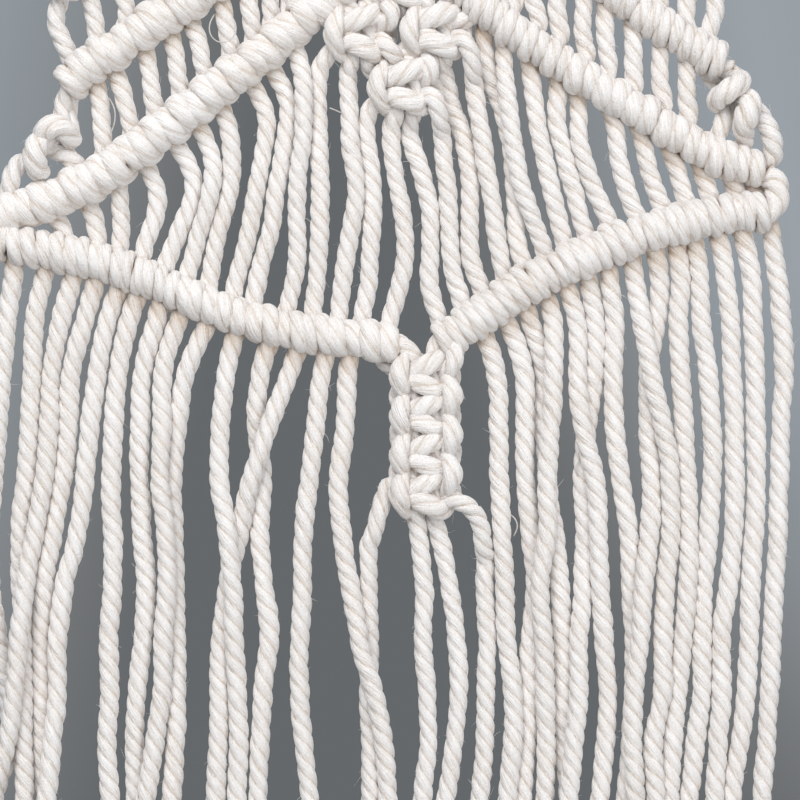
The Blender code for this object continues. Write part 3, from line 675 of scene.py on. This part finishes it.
Long = namedtuple("Long", "rank top foot x0 x1 x2 x3 x4 x5 x6")
B_TO_V = [
    Long(0, -121.5, -122.0, -103.6, -103.6, -103.6, -103.7, -103.7, -103.8, -103.8),
    Long(0, -112.6, -122.6, -92.8, -92.4, -91.9, -90.6, -89.4, -88.9, -88.4),
    Long(0, -110.5, -124.2, -83.6, -82.8, -81.6, -80.9, -80.4, -80.1, -79.7),
    Long(0, -106.0, -125.2, -75.2, -74.2, -74.2, -73.9, -73.7, -73.9, -74.2),
    Long(0, -100.8, -127.3, -68.4, -65.9, -64.2, -64.2, -65.2, -67.0, -67.9),
    Long(0, -96.3, -131.0, -60.0, -56.3, -54.5, -55.4, -57.9, -60.3, -62.1),
    Long(0, -92.9, -133.6, -53.1, -50.0, -49.2, -50.4, -52.5, -54.7, -56.5),
    Long(1, -85.8, -136.3, -47.6, -45.1, -44.5, -45.3, -47.5, -49.3, -51.0),
    Long(0, -81.0, -138.9, -39.5, -35.2, -36.3, -38.0, -39.6, -42.1, -44.4),
    Long(1, -75.8, -142.1, -34.7, -29.5, -30.5, -32.6, -33.9, -37.2, -39.2),
    Long(0, -69.2, -143.6, -28.4, -25.5, -25.4, -27.0, -27.2, -27.4, -30.5),
    Long(1, -69.2, -144.7, -19.5, -21.8, -21.6, -21.3, -21.0, -21.9, -23.1),
    Long(0, -73.2, -145.5, -13.7, -13.5, -13.1, -11.6, -13.0, -15.2, -16.3),
    Long(1, -83.7, -146.3, -7.6, -8.8, -7.6, -7.2, -7.7, -8.5, -10.5),
    Long(0, -86.3, -147.3, -1.8, -2.4, -1.2, 0.9, 1.5, -0.9, -3.4),
    Long(1, -86.3, -145.5, 1.8, 2.8, 5.7, 7.9, 7.9, 8.0, 10.8),
    Long(0, -85.0, -141.5, 10.0, 11.1, 11.7, 12.9, 13.1, 14.3, 16.8),
    Long(1, -73.2, -137.6, 10.5, 13.0, 16.4, 18.4, 18.5, 18.6, 22.1),
    Long(0, -70.5, -135.0, 17.4, 19.2, 20.8, 22.5, 24.3, 25.8, 28.1),
    Long(2, -66.6, -132.3, 22.1, 23.1, 27.1, 29.5, 30.5, 30.8, 33.4),
    Long(0, -67.9, -130.0, 27.6, 27.6, 28.5, 29.9, 31.7, 35.8, 39.5),
    Long(0, -72.6, -127.3, 34.2, 35.0, 36.1, 37.9, 39.8, 42.0, 44.4),
    Long(1, -76.3, -125.2, 41.0, 41.6, 41.5, 43.7, 45.6, 47.6, 50.5),
    Long(0, -81.6, -123.1, 46.3, 47.1, 47.2, 48.7, 51.0, 54.3, 56.5),
    Long(0, -86.3, -119.4, 54.7, 56.6, 57.1, 58.1, 59.5, 61.4, 63.9),
    Long(0, -91.6, -116.8, 62.6, 64.0, 64.6, 65.6, 67.0, 68.6, 70.5),
    Long(0, -96.8, -115.8, 71.0, 71.8, 72.9, 73.6, 74.5, 75.5, 77.1),
    Long(0, -100.8, -114.7, 78.9, 79.6, 80.2, 80.8, 81.5, 82.0, 82.3),
    Long(0, -103.4, -114.2, 86.8, 87.1, 87.5, 88.2, 89.1, 90.0, 90.5),
    Long(0, -112.0, -112.6, 95.0, 95.1, 95.1, 95.2, 95.2, 95.3, 95.3),
]
LEVEL_STEP = 2.0
CLEARANCE = 0.97 * CORD
BELOW_KNOT, BELOW_BAR = 3.0, 0.8    # gaps that a smooth line fills before a hanging line starts


def on_levels(lines, levels):
    """x of each line of points (x, z) at shared levels, with NaN above its top and below its foot."""
    across = np.full((len(lines), len(levels)), np.nan)
    for row, points in zip(across, lines):
        line = curve([(x, 0.0, z) for x, z in points])
        inside = (levels <= points[0][1]) & (levels >= points[-1][1])
        row[inside] = np.interp(-levels[inside], -line[:, 2], line[:, 0])
    return across


ROUNDS = 40                         # of pushing apart
SPREAD = np.array([1, 3, 4, 3, 1]) / 12
PINNED_OVER = 9.0                   # distance from an end over which a strand is drawn to its depth there


def settled_depths(across, ranks, resting, pinned):
    """Depth of each strand at shared levels, so that strands that cross or touch lie side by side.

    Where the middles of two strands are closer than CLEARANCE, they are pushed apart in depth, the
    lower rank to the front, and the push is spread up and down the strands. Depths start from
    resting and return to pinned at both ends of each strand.
    """
    present = ~np.isnan(across)
    depth = np.where(present, resting, 0.0)
    pairs = []
    for strands in zip(*np.triu_indices(len(across), 1)):
        front, back = sorted(strands, key=lambda strand: ranks[strand])
        aside = np.abs(across[front] - across[back])
        lack = np.sqrt(np.clip(CLEARANCE ** 2 - np.nan_to_num(aside, nan=CORD) ** 2, 0, None))
        if lack.any():
            pairs.append((front, back, lack))
    spots = [np.flatnonzero(row) for row in present]
    ends = np.full(across.shape, np.inf)
    for row, there in enumerate(spots):
        ends[row, there] = np.minimum(there - there[0], there[-1] - there) * LEVEL_STEP
    hold = 0.5 * np.clip(1 - ends / PINNED_OVER, 0, 1) ** 2
    for _ in range(ROUNDS):
        for front, back, lack in pairs:
            push = 0.5 * np.clip(lack - depth[back] + depth[front], 0, None) * (lack > 0)
            depth[front] -= push
            depth[back] += push
        for row, there in enumerate(spots):
            if len(there) >= len(SPREAD):
                depth[row, there] = np.convolve(np.pad(depth[row, there], 2, "edge"), SPREAD, "valid")
        depth = depth * (1 - hold) + pinned * hold
    return depth


class Curtain:
    """Strands that hang beside and across each other, known at shared levels."""

    def __init__(self, levels, lines, ranks, resting, pinned):
        self.levels, self.across = levels, on_levels(lines, levels)
        self.depth = settled_depths(self.across, ranks, resting, pinned)

    def strand(self, number):
        """Points (x, y, z) of one strand at its levels."""
        there = ~np.isnan(self.across[number])
        return np.stack([self.across[number, there], self.depth[number, there], self.levels[there]], axis=1)


between = Curtain(np.arange(-64.0, -150.0, -LEVEL_STEP),
                  [list(zip(row[3:], np.linspace(row.top, row.foot, 7))) for row in B_TO_V],
                  [row.rank for row in B_TO_V], 1.4, DEPTH_BEHIND - 0.4)


def visible_line(number):
    """Points (x, y, z) of one strand between B and the V, with its top and foot."""
    row, line = B_TO_V[number], between.strand(number)
    if len(line) < 3:
        return np.array([(row.x0, DEPTH_BEHIND, row.top), (row.x6, DEPTH_BEHIND, row.foot)])
    keep = (line[:, 2] < row.top - BELOW_BAR) & (line[:, 2] > row.foot + BELOW_BAR)
    return np.vstack([(row.x0, line[0, 1], row.top), line[keep], (row.x6, line[-1, 1], row.foot)])


# ---------------------------------------------------------------------------------------------
# The V: the same two holding cords come back from the side edges down to the middle, and the
# strands are hitched on again, packed a little closer than above.

V_LEFT = Bar([(0.5, -151.2), (-3.9, -150.2), (-13.2, -148.9), (-26.3, -147.3), (-39.5, -144.2),
              (-52.6, -139.2), (-68.4, -132.6), (-78.9, -128.9), (-92.1, -126.0), (-99.9, -124.7),
              (-104.2, -123.4), (-107.3, -121.3)])
V_RIGHT = Bar([(6.8, -152.0), (10.8, -149.5), (16.4, -146.4), (21.0, -143.4), (26.3, -139.6),
               (34.2, -134.6), (42.1, -130.5), (52.6, -126.0), (63.1, -121.5), (73.6, -118.9),
               (78.9, -117.6), (84.2, -116.5), (89.4, -116.0), (96.0, -115.5), (99.9, -113.4)])
V_LEFT_LEAVES = [-101.0, -92.6, -85.2, -79.2, -73.9, -68.6, -63.1, -56.8, -50.5, -42.6, -33.7, -26.0, -18.9,
                 -12.6, -2.6]
V_RIGHT_LEAVES = [17.0, 22.5, 27.8, 33.1, 38.7, 44.2, 49.4, 54.7, 61.0, 66.8, 72.6, 77.6, 83.4, 89.2, 95.0]
v_left_bar, v_right_bar = Bundle("v_left_arm"), Bundle("v_right_arm")
V_SIZES = {"radius": 3.65, "thick": 2.0, "wide": 0.315, "level": 0.12}
v_left_ends = tied(v_left_bar, V_LEFT, V_LEFT_LEAVES, 0.25, -2.1, **V_SIZES)
v_right_ends = tied(v_right_bar, V_RIGHT, V_RIGHT_LEAVES, 0.05, -1.2, **V_SIZES)
v_ends = v_left_ends + v_right_ends

# Each holding cord is one length from B round the side edge into the V, and on into the sennit.
TURN_LEFT = [(-106.6, 0.0, -116.9), (-108.8, -0.2, -118.4), (-109.2, -0.2, -120.6), (-107.4, 0.0, -121.6)]
TURN_RIGHT = [(96.0, 0.0, -105.8), (98.4, -0.4, -107.2), (99.2, -0.6, -110.2), (98.8, -0.6, -113.6),
              (96.6, -0.2, -116.0), (93.5, 0.0, -116.0)]
chevron_b.add(free([B_LEFT.line[-1], *TURN_LEFT, V_LEFT.line[-1] + [2.0, 0, -0.5]]))
chevron_b.add(free([B_RIGHT.line[-1] - [3.0, 0, -1.0], *TURN_RIGHT], 3.1, 3.3))
V_LEFT_ON = [(0.2, -1.2, -150.6), (2.8, -1.4, -152.6), (4.4, -0.6, -155.0), (4.5, 0.0, -158.0)]
V_RIGHT_ON = [(10.6, 0.0, -148.6), (9.2, 0.4, -151.4), (8.9, 0.0, -154.0), (8.9, 0.0, -157.0)]
for bundle, bar, side, inner, onwards in ((v_left_bar, V_LEFT, -1, 4.0, V_LEFT_ON),
                                          (v_right_bar, V_RIGHT, 1, 13.0, V_RIGHT_ON)):
    inside = bar.line[side * bar.line[:, 0] > inner][::HOLDER_STEP]
    bundle.add(free([*sorted(inside, key=lambda place: -side * place[0]), *onwards], 2.3, 2.4))
chevron_b.piece()
v_left_bar.piece()
v_right_bar.piece()

# Strands between B and the V: those of the middle come out of the square knots. Each stop of a
# route is a knot and the cord's part in it, or a point on the way.
routes = {
    11: [(K_LEFT, CROSSING)],
    12: [(K_LEFT, INNER_LEFT)],
    13: [(K_TOP, CROSSING), (K_LEFT, INNER_RIGHT), (K_LOW, CROSSING)],
    14: [(K_TOP, INNER_LEFT), (-3.1, -2.6, -62.0), (-2.0, -3.4, -65.0), (K_LEFT, LOOPING),
         (-3.7, -3.3, -72.6), (-1.7, -2.2, -75.0), (K_LOW, INNER_LEFT)],
    15: [(K_TOP, INNER_RIGHT), (K_RIGHT, CROSSING), (K_LOW, INNER_RIGHT)],
    16: [(K_TOP, LOOPING), (K_RIGHT, INNER_LEFT), (7.8, -2.0, -76.6), (8.2, -3.0, -79.0), (K_LOW, LOOPING),
         (8.9, -3.4, -86.2), (10.7, -2.4, -91.0)],
    17: [(K_RIGHT, INNER_RIGHT)],
    18: [(19.6, 3.4, -63.0), (17.0, 0.4, -65.4), (K_RIGHT, LOOPING), (16.8, -3.4, -70.9),
         (18.4, -3.0, -74.0), (19.0, -1.8, -78.0)],
}
lower_strands = Bundle("strands_b_to_v")
for number in sorted(set(range(len(B_TO_V))) - set(routes)):
    out, into = b_ends[number][1], v_ends[number][0]
    lower_strands.add(free(np.vstack([out, visible_line(number), into])), shelter=UNDER_BAR)
lower_strands.piece("knotted_net")

knots = Bundle("square_knots")
for number, stops in routes.items():
    out = b_ends[number][1]
    rows = [out, (out[0], 3.4, out[2] - 3.0)]
    for stop in stops:
        rows.append(stop if len(stop) == 3 else knot_part(*stop))
    way = joined(*rows)
    below = visible_line(number)
    below = below[below[:, 2] < way[-1, 2] - BELOW_KNOT]
    knots.add(joined(way, free(np.vstack([way[-1:, PLACE], below, v_ends[number][0]]))[1:]))
knots.piece()

# ---------------------------------------------------------------------------------------------
# Fringe: the strands hang loose from both arms and from the sennit. They sway and cross a little,
# and their ends are cut level.

FRINGE_LEVELS = np.arange(-130.0, -271.0, -14.0)
FOOT = -345.0
LOOSE = (2.62, 2.62)                # half sizes of the fringe, which is a little less tightly twisted
KEPT_SWAY = {-290.0: 0.9, -318.0: 0.6, FOOT: 0.8}    # how much of its last sway a strand goes on with
Lock = namedtuple("Lock", "rank root_x root_z xs")    # the last x is at the lowest of FRINGE_LEVELS
LEFT_FRINGE = [
    Lock(2, -101.0, -125.2, (-101.8, -103.5, -104.9, -105.9, -107.3, -108.4, -107.9, -106.0,
                            -103.9, -103.4, -107.2)),
    Lock(1, -92.6, -127.1, (-96.2, -97.1, -97.5, -98.6, -100.3, -100.1, -99.7, -99.3, -99.2, -98.9)),
    Lock(-1, -85.2, -128.9, (-89.4, -92.0, -92.4, -93.6, -95.9, -98.4, -99.9, -101.0, -103.2, -107.7)),
    Lock(3, -79.2, -131.0, (-83.1, -86.7, -87.6, -89.1, -91.4, -93.8, -94.9, -94.7, -94.6, -93.9)),
    Lock(0, -73.9, -133.6, (-77.0, -79.8, -81.8, -83.1, -84.9, -88.4, -90.2, -90.2, -91.4, -92.8)),
    Lock(0, -68.6, -136.3, (-71.4, -74.2, -75.3, -76.0, -75.7, -75.7, -76.8, -76.5, -77.3, -76.3)),
    Lock(0, -63.1, -138.9, (-64.2, -67.9, -68.5, -68.6, -68.1, -66.8, -67.8, -69.2, -70.2, -69.7)),
    Lock(-1, -56.8, -140.2, (-62.6, -62.6, -62.9, -61.6, -61.3, -62.2, -62.5, -64.6, -66.7)),
    Lock(1, -50.5, -144.2, (-56.5, -58.8, -60.0, -59.8, -59.3, -59.0, -58.9, -59.2, -60.2)),
    Lock(-1, -42.6, -145.5, (-45.8, -47.3, -47.6, -45.5, -44.0, -43.6, -42.8, -42.4, -43.1)),
    Lock(1, -33.7, -148.1, (-36.8, -38.0, -36.3, -37.1, -35.7, -34.5, -36.1, -36.9, -37.3)),
    Lock(0, -26.0, -149.4, (-29.2, -34.6, -39.1, -42.2, -45.5, -47.3, -47.7, -47.9, -48.6)),
    Lock(0, -18.9, -150.7, (-20.6, -22.3, -23.9, -25.5, -25.8, -26.3, -26.6, -25.4, -23.7)),
    Lock(-1, -13.2, -152.1, (-13.7, -14.4, -16.3, -15.4, -13.0, -10.6, -6.8, -4.1, -3.2)),
]
RIGHT_FRINGE = [
    Lock(-1, 21.8, -145.5, (25.3, 25.9, 26.0, 26.9, 27.6, 28.1, 29.6, 29.8, 28.2)),
    Lock(0, 27.6, -142.8, (32.6, 32.8, 33.1, 34.3, 35.8, 34.2, 34.2, 33.6, 32.4)),
    Lock(1, 33.1, -140.2, (38.1, 38.1, 39.2, 40.8, 42.2, 42.9, 43.3, 43.5, 44.4)),
    Lock(-1, 38.7, -137.6, (40.3, 40.3, 39.6, 38.7, 38.7, 36.6, 37.9, 38.3, 38.5, 38.1)),
    Lock(-1, 44.2, -135.0, (46.5, 46.6, 47.9, 51.2, 52.3, 52.6, 53.6, 54.8, 54.0, 52.9)),
    Lock(0, 49.4, -132.3, (51.5, 51.1, 49.6, 48.4, 48.7, 48.2, 47.1, 46.8, 45.8, 44.2)),
    Lock(1, 54.7, -129.7, (56.5, 56.1, 56.4, 58.3, 60.4, 61.0, 61.8, 61.8, 60.9, 59.7)),
    Lock(-1, 61.0, -127.1, (63.4, 65.9, 69.1, 71.2, 71.2, 70.0, 69.4, 68.9, 66.7, 67.3)),
    Lock(0, 66.8, -124.4, (68.1, 67.9, 65.7, 65.6, 66.3, 65.8, 64.3, 62.9, 61.5, 61.0, 62.0)),
    Lock(0, 72.6, -123.1, (73.8, 73.2, 73.9, 74.9, 75.7, 76.3, 75.6, 74.7, 73.4, 72.1, 71.3)),
    Lock(1, 77.6, -122.3, (78.7, 79.3, 81.0, 82.2, 82.3, 81.4, 80.1, 79.7, 79.6, 77.9, 76.3)),
    Lock(0, 83.6, -121.0, (85.5, 86.8, 87.6, 88.0, 88.3, 87.8, 86.6, 84.7, 84.8, 83.8, 82.9)),
    Lock(1, 90.2, -120.5, (92.2, 93.2, 93.5, 93.8, 94.0, 93.3, 92.4, 92.0, 91.3, 89.5, 87.6)),
    Lock(0, 97.3, -117.9, (99.2, 100.5, 101.4, 100.4, 99.9, 99.6, 98.6, 98.1, 97.4, 96.6, 95.5)),
]
TAILS = [
    Lock(1, -5.3, -192.5, (-7.8, -8.1, -8.0, -8.4, -7.9, -7.9)),
    Lock(0, 4.4, -196.8, (6.3, 6.0, 7.0, 7.5, 5.8)),
    Lock(1, 9.2, -196.8, (13.1, 15.0, 15.4, 14.2, 12.2)),
    Lock(0, 21.0, -193.5, (22.8, 22.2, 22.9, 22.6, 22.1, 21.1)),
]
fringe = LEFT_FRINGE + RIGHT_FRINGE + TAILS
fringe_lines = []
for lock in fringe:
    line = [(lock.root_x, lock.root_z), *zip(lock.xs, FRINGE_LEVELS[-len(lock.xs):])]
    (x_before, _), (x_last, _) = line[-2:]
    line += [(x_last + share * (x_last - x_before), level) for level, share in KEPT_SWAY.items()]
    fringe_lines.append(line)
hung = Curtain(np.arange(-120.0, FOOT - 1.0, -LEVEL_STEP), fringe_lines, [lock.rank for lock in fringe],
               1.2, 1.6)


def hanging(number):
    """Points (x, y, z) of one fringe strand from just under its root to its cut end."""
    line = hung.strand(number)
    return line[line[:, 2] < fringe[number].root_z - BELOW_BAR]


left_locks, right_locks = Bundle("left_fringe"), Bundle("right_fringe")
fringe_starts = [(left_locks, out) for _, out in v_left_ends[:-1]]
fringe_starts += [(right_locks, out) for _, out in v_right_ends[1:]]
for number, (bundle, out) in enumerate(fringe_starts):
    root = (fringe[number].root_x, DEPTH_BEHIND, fringe[number].root_z)
    bundle.add(free(np.vstack([out, root, hanging(number)]), *LOOSE), shelter=10.0)
left_locks.piece("left_bar_fringe")
right_locks.piece("right_bar_fringe")

# ---------------------------------------------------------------------------------------------
# Sennit: the innermost cord of each arm is tied round the two holding cords in four square knots,
# one below the other, and all four ends hang on.

SENNIT = Square(6.7, -158.9, 7.2, 10.26, 0.28)
SENNIT_KNOTS = 4
last_knot = SENNIT_KNOTS - 1
crossing = square_cords(SENNIT, -CROSSING_END, last_knot + CROSSING_END, 2.2, 2.85, 3.0)[CROSSING]
looping = square_cords(SENNIT, -LOOPING_END, last_knot + LOOPING_END, 2.2, 2.85, 3.2)[LOOPING]
sennit_foot = SENNIT.z - (SENNIT_KNOTS - 0.5) * SENNIT.height
first_tail = len(fringe_starts)
LEFT_TAIL = [(-2.0, 2.6, -186.6), (-4.2, 0.8, -190.0), (-5.6, 0.2, -194.6), (-6.6, 0.4, -199.6)]
RIGHT_TAIL = [(13.6, -2.6, -191.2), (16.2, -3.4, -191.9), (19.0, -2.8, -194.0), (21.0, -1.6, -197.8),
              (21.6, -0.8, -203.0)]


def from_sennit(way, lock):
    """A cord of the sennit carried on down its hanging line."""
    down = hanging(lock)
    return joined(way, down[down[:, 2] < way[-1, 2] - BELOW_KNOT])


left_way = joined(v_left_ends[-1][1], (-4.6, 3.6, -154.4), (-2.8, 3.0, -156.4), crossing, *LEFT_TAIL)
right_way = joined(v_right_ends[0][1], (13.9, -1.6, -150.6), (14.5, -3.4, -153.6), (13.6, -3.0, -156.6),
                   looping, *RIGHT_TAIL)
sennit = Bundle("sennit_cords")
sennit.add(from_sennit(left_way, first_tail))
sennit.add(from_sennit(right_way, first_tail + 3))
for side, tail in ((-2.3, first_tail + 1), (2.3, first_tail + 2)):
    core = joined(*[(SENNIT.x + side, 0.0, z) for z in (-157.0, -170.0, -182.0, -191.0)],
                  (SENNIT.x + 1.1 * side, 0.4, sennit_foot + 1.0))
    sennit.add(from_sennit(core, tail))
sennit.piece("centre_sennit")

# ---------------------------------------------------------------------------------------------
# Fuzz: single cotton fibres that have worked loose, most of them short and bent back to the cord,
# and a few thin yarns that stand off in loops.

THREAD = 0.17                       # half size of a thin yarn
YARNS = [
    [(-48.4, -4.0, -64.6), (-49.8, -4.6, -67.2), (-49.2, -5.0, -70.6), (-46.6, -5.2, -72.2),
     (-43.8, -5.0, -71.0), (-42.6, -4.6, -67.6), (-43.4, -4.2, -65.8)],
    [(-14.8, 0.6, -89.9), (-16.4, 0.0, -89.2), (-18.4, -0.3, -88.4)],
    [(-76.6, 0.4, -85.6), (-75.2, 0.0, -88.0), (-74.8, 0.0, -91.4), (-76.0, 0.8, -94.6)],
    [(28.0, 0.4, -194.6), (30.2, 0.0, -196.0), (31.2, 0.2, -198.8), (30.0, 0.6, -201.0)],
    [(47.0, 1.0, -179.4), (47.4, 0.2, -181.6), (45.6, 0.0, -182.8), (46.8, 0.8, -185.0)],
    [(90.8, -3.6, -86.6), (93.6, -4.6, -85.4), (94.0, -4.4, -88.0), (92.4, -3.4, -89.2)],
]
loose_yarns = Bundle("loose_yarns")
for yarn in YARNS:
    loose_yarns.add(free(yarn, THREAD, THREAD), step=0.6, wobble=0.05)
loose_yarns.piece()

fibre_nodes = Nodes(bpy.data.materials.new("single_cotton_fibres"), "Principled BSDF")
fibre_nodes.fill(fibre_nodes.shader, {"Base Color": (0.93, 0.91, 0.89, 1.0), "Roughness": 0.8,
                                      "Specular IOR Level": 0.2})
FIBRE_RADIUS, FIBRE_TAPER = 0.038, 0.7
FIBRE_RINGS, FIBRE_SIDES = 3, 3
SHORTEST, LENGTH_SHAPE, LENGTH_SCALE = 0.4, 1.5, 0.38


def loose_fibres(name, *bundles):
    """Loose fibres of some bundles as closed three-sided rods that taper towards their ends.

    A fibre starts on the cord at root and goes to root + length * (t * way + t * t * bend), with t from
    0 to 1; its way points outwards and along the cord, and its bend partly back to the cord.
    """
    hairs = np.vstack([rows for bundle in bundles for rows in bundle.hairs])
    count = len(hairs)
    outwards = unit(hairs[:, 1])
    run = hairs[:, 2] * chance.choice([-1.0, 1.0], count)[:, None]
    aside = np.cross(outwards, run)
    length = SHORTEST + chance.gamma(LENGTH_SHAPE, LENGTH_SCALE, count)
    way = outwards * chance.uniform(0.3, 1.0, (count, 1)) + run * chance.uniform(0.1, 1.0, (count, 1))
    way += aside * chance.normal(0, 0.45, (count, 1))
    bend = chance.normal(0, 0.35, (count, 3)) - outwards * chance.uniform(0.0, 0.5, (count, 1))
    share = np.linspace(0, 1, FIBRE_RINGS)[:, None, None]
    middle = hairs[:, 0] - 0.15 * outwards + length[:, None] * (share * way + share ** 2 * bend)
    radius = FIBRE_RADIUS * (1 - FIBRE_TAPER * share)[..., None]
    angle = (2 * math.pi * np.arange(FIBRE_SIDES) / FIBRE_SIDES)[:, None]
    corners = middle[:, :, None] + radius * (
        np.cos(angle) * aside[:, None] + np.sin(angle) * np.cross(way, aside)[:, None])
    corners = corners.transpose(1, 0, 2, 3).reshape(-1, 3)
    each = FIBRE_RINGS * FIBRE_SIDES
    here = np.arange(0, each - FIBRE_SIDES, FIBRE_SIDES)[:, None]
    corner = np.arange(FIBRE_SIDES)
    following = (corner + 1) % FIBRE_SIDES
    sides = np.stack([here + corner, here + following, here + FIBRE_SIDES + following,
                      here + FIBRE_SIDES + corner], axis=-1).reshape(-1, 4)
    first = each * np.arange(count)[:, None, None]
    ends = np.array([(2, 1, 0), (each - 3, each - 2, each - 1)])
    faces = (first + sides).reshape(-1, 4).tolist() + (first + ends).reshape(-1, 3).tolist()
    finished(name, corners, faces, fibre_nodes.owner)


loose_fibres("fuzz_on_the_net", chevron_a, chevron_b, middle_strands, edge_cords, knots, lower_strands)
loose_fibres("fuzz_on_the_fringe", heading, v_left_bar, left_locks, v_right_bar, right_locks, sennit)

# ---------------------------------------------------------------------------------------------
# The view: a long lens straight in front, a grey surround with painted shade behind the middle, a pale
# floor below, and soft light from the upper left, with a weaker fill from the right and another light from
# behind.

VIEW_HALF, VIEW_MIDDLE = 105.2, -165.2
LENS, SENSOR = 100.0, 36.0
camera_data = bpy.data.cameras.new("camera")
camera_data.lens, camera_data.sensor_width = LENS, SENSOR
camera = placed("camera", camera_data)
camera.location = (0.0, -VIEW_HALF * 2 * LENS / SENSOR * MM, VIEW_MIDDLE * MM)
camera.rotation_euler = (math.pi / 2, 0.0, 0.0)
bpy.context.scene.camera = camera

# The surround is darkest in the middle and lighter outwards, and dark again low on the right; the darker
# middle is painted shade that the hanging would cast on a wall close behind it.
SURROUND = {0.115: (0.128, 0.139, 0.146), 0.177: (0.160, 0.168, 0.174), 0.217: (0.188, 0.198, 0.205),
            0.257: (0.223, 0.238, 0.252), 0.301: (0.250, 0.275, 0.292), 0.354: (0.279, 0.309, 0.337),
            0.443: (0.328, 0.361, 0.392), 1.0: (0.20, 0.22, 0.235)}
GENERATED, ACROSS, UPWARDS = 0, 0, 2    # outputs of the Texture Coordinate and Separate XYZ nodes
surround = Nodes(bpy.data.worlds.new("surround"), "Background")
towards = surround.add("ShaderNodeTexCoord", output=GENERATED)
across, upwards = (surround.add("ShaderNodeSeparateXYZ", values={0: towards}, output=part)
                   for part in (ACROSS, UPWARDS))
low_right = across.at_least(0.0) * (upwards - 0.05).at_most(0.0)
outward = abs(across + 0.031) + upwards * 0.22 + low_right * 2.0
ramp = surround.add("ShaderNodeValToRGB", {"stops": SURROUND}, {0: outward * 2.0})
surround.fill(surround.shader, {"Color": ramp})
bpy.context.scene.world = surround.owner
bpy.context.scene.view_settings.view_transform = "Standard"


def softbox(name, place, size, power):
    """A square area light that faces the middle of the hanging."""
    data = bpy.data.lights.new(name, "AREA")
    data.energy, data.size = power, size
    lamp = placed(name, data)
    lamp.location = place
    towards = np.array([0.0, 0.0, VIEW_MIDDLE * MM]) - np.array(place)
    flat = math.hypot(towards[0], towards[1])
    lamp.rotation_euler = (math.atan2(flat, -towards[2]), 0.0, math.atan2(-towards[0], towards[1]))


softbox("key", (-0.36, -1.0, 0.66), 0.9, 16.2)
softbox("back", (0.35, 1.2, 0.35), 1.0, 12.0)
softbox("fill", (0.72, -1.0, -0.25), 1.0, 7.5)

FLOOR_HEIGHT, FLOOR_SIZE = -1.25, 3.0
floor_mesh = bpy.data.meshes.new("floor")
floor_mesh.from_pydata([(x * FLOOR_SIZE, y * FLOOR_SIZE, FLOOR_HEIGHT) for x, y in
                        ((-1, -1), (1, -1), (1, 1), (-1, 1))], [], [(0, 1, 2, 3)])
floor_paint = Nodes(bpy.data.materials.new("pale_floor"), "Principled BSDF")
floor_paint.fill(floor_paint.shader, {"Base Color": (0.72, 0.72, 0.71, 1.0), "Roughness": 0.8})
floor_mesh.materials.append(floor_paint.owner)
floor = placed("floor", floor_mesh)
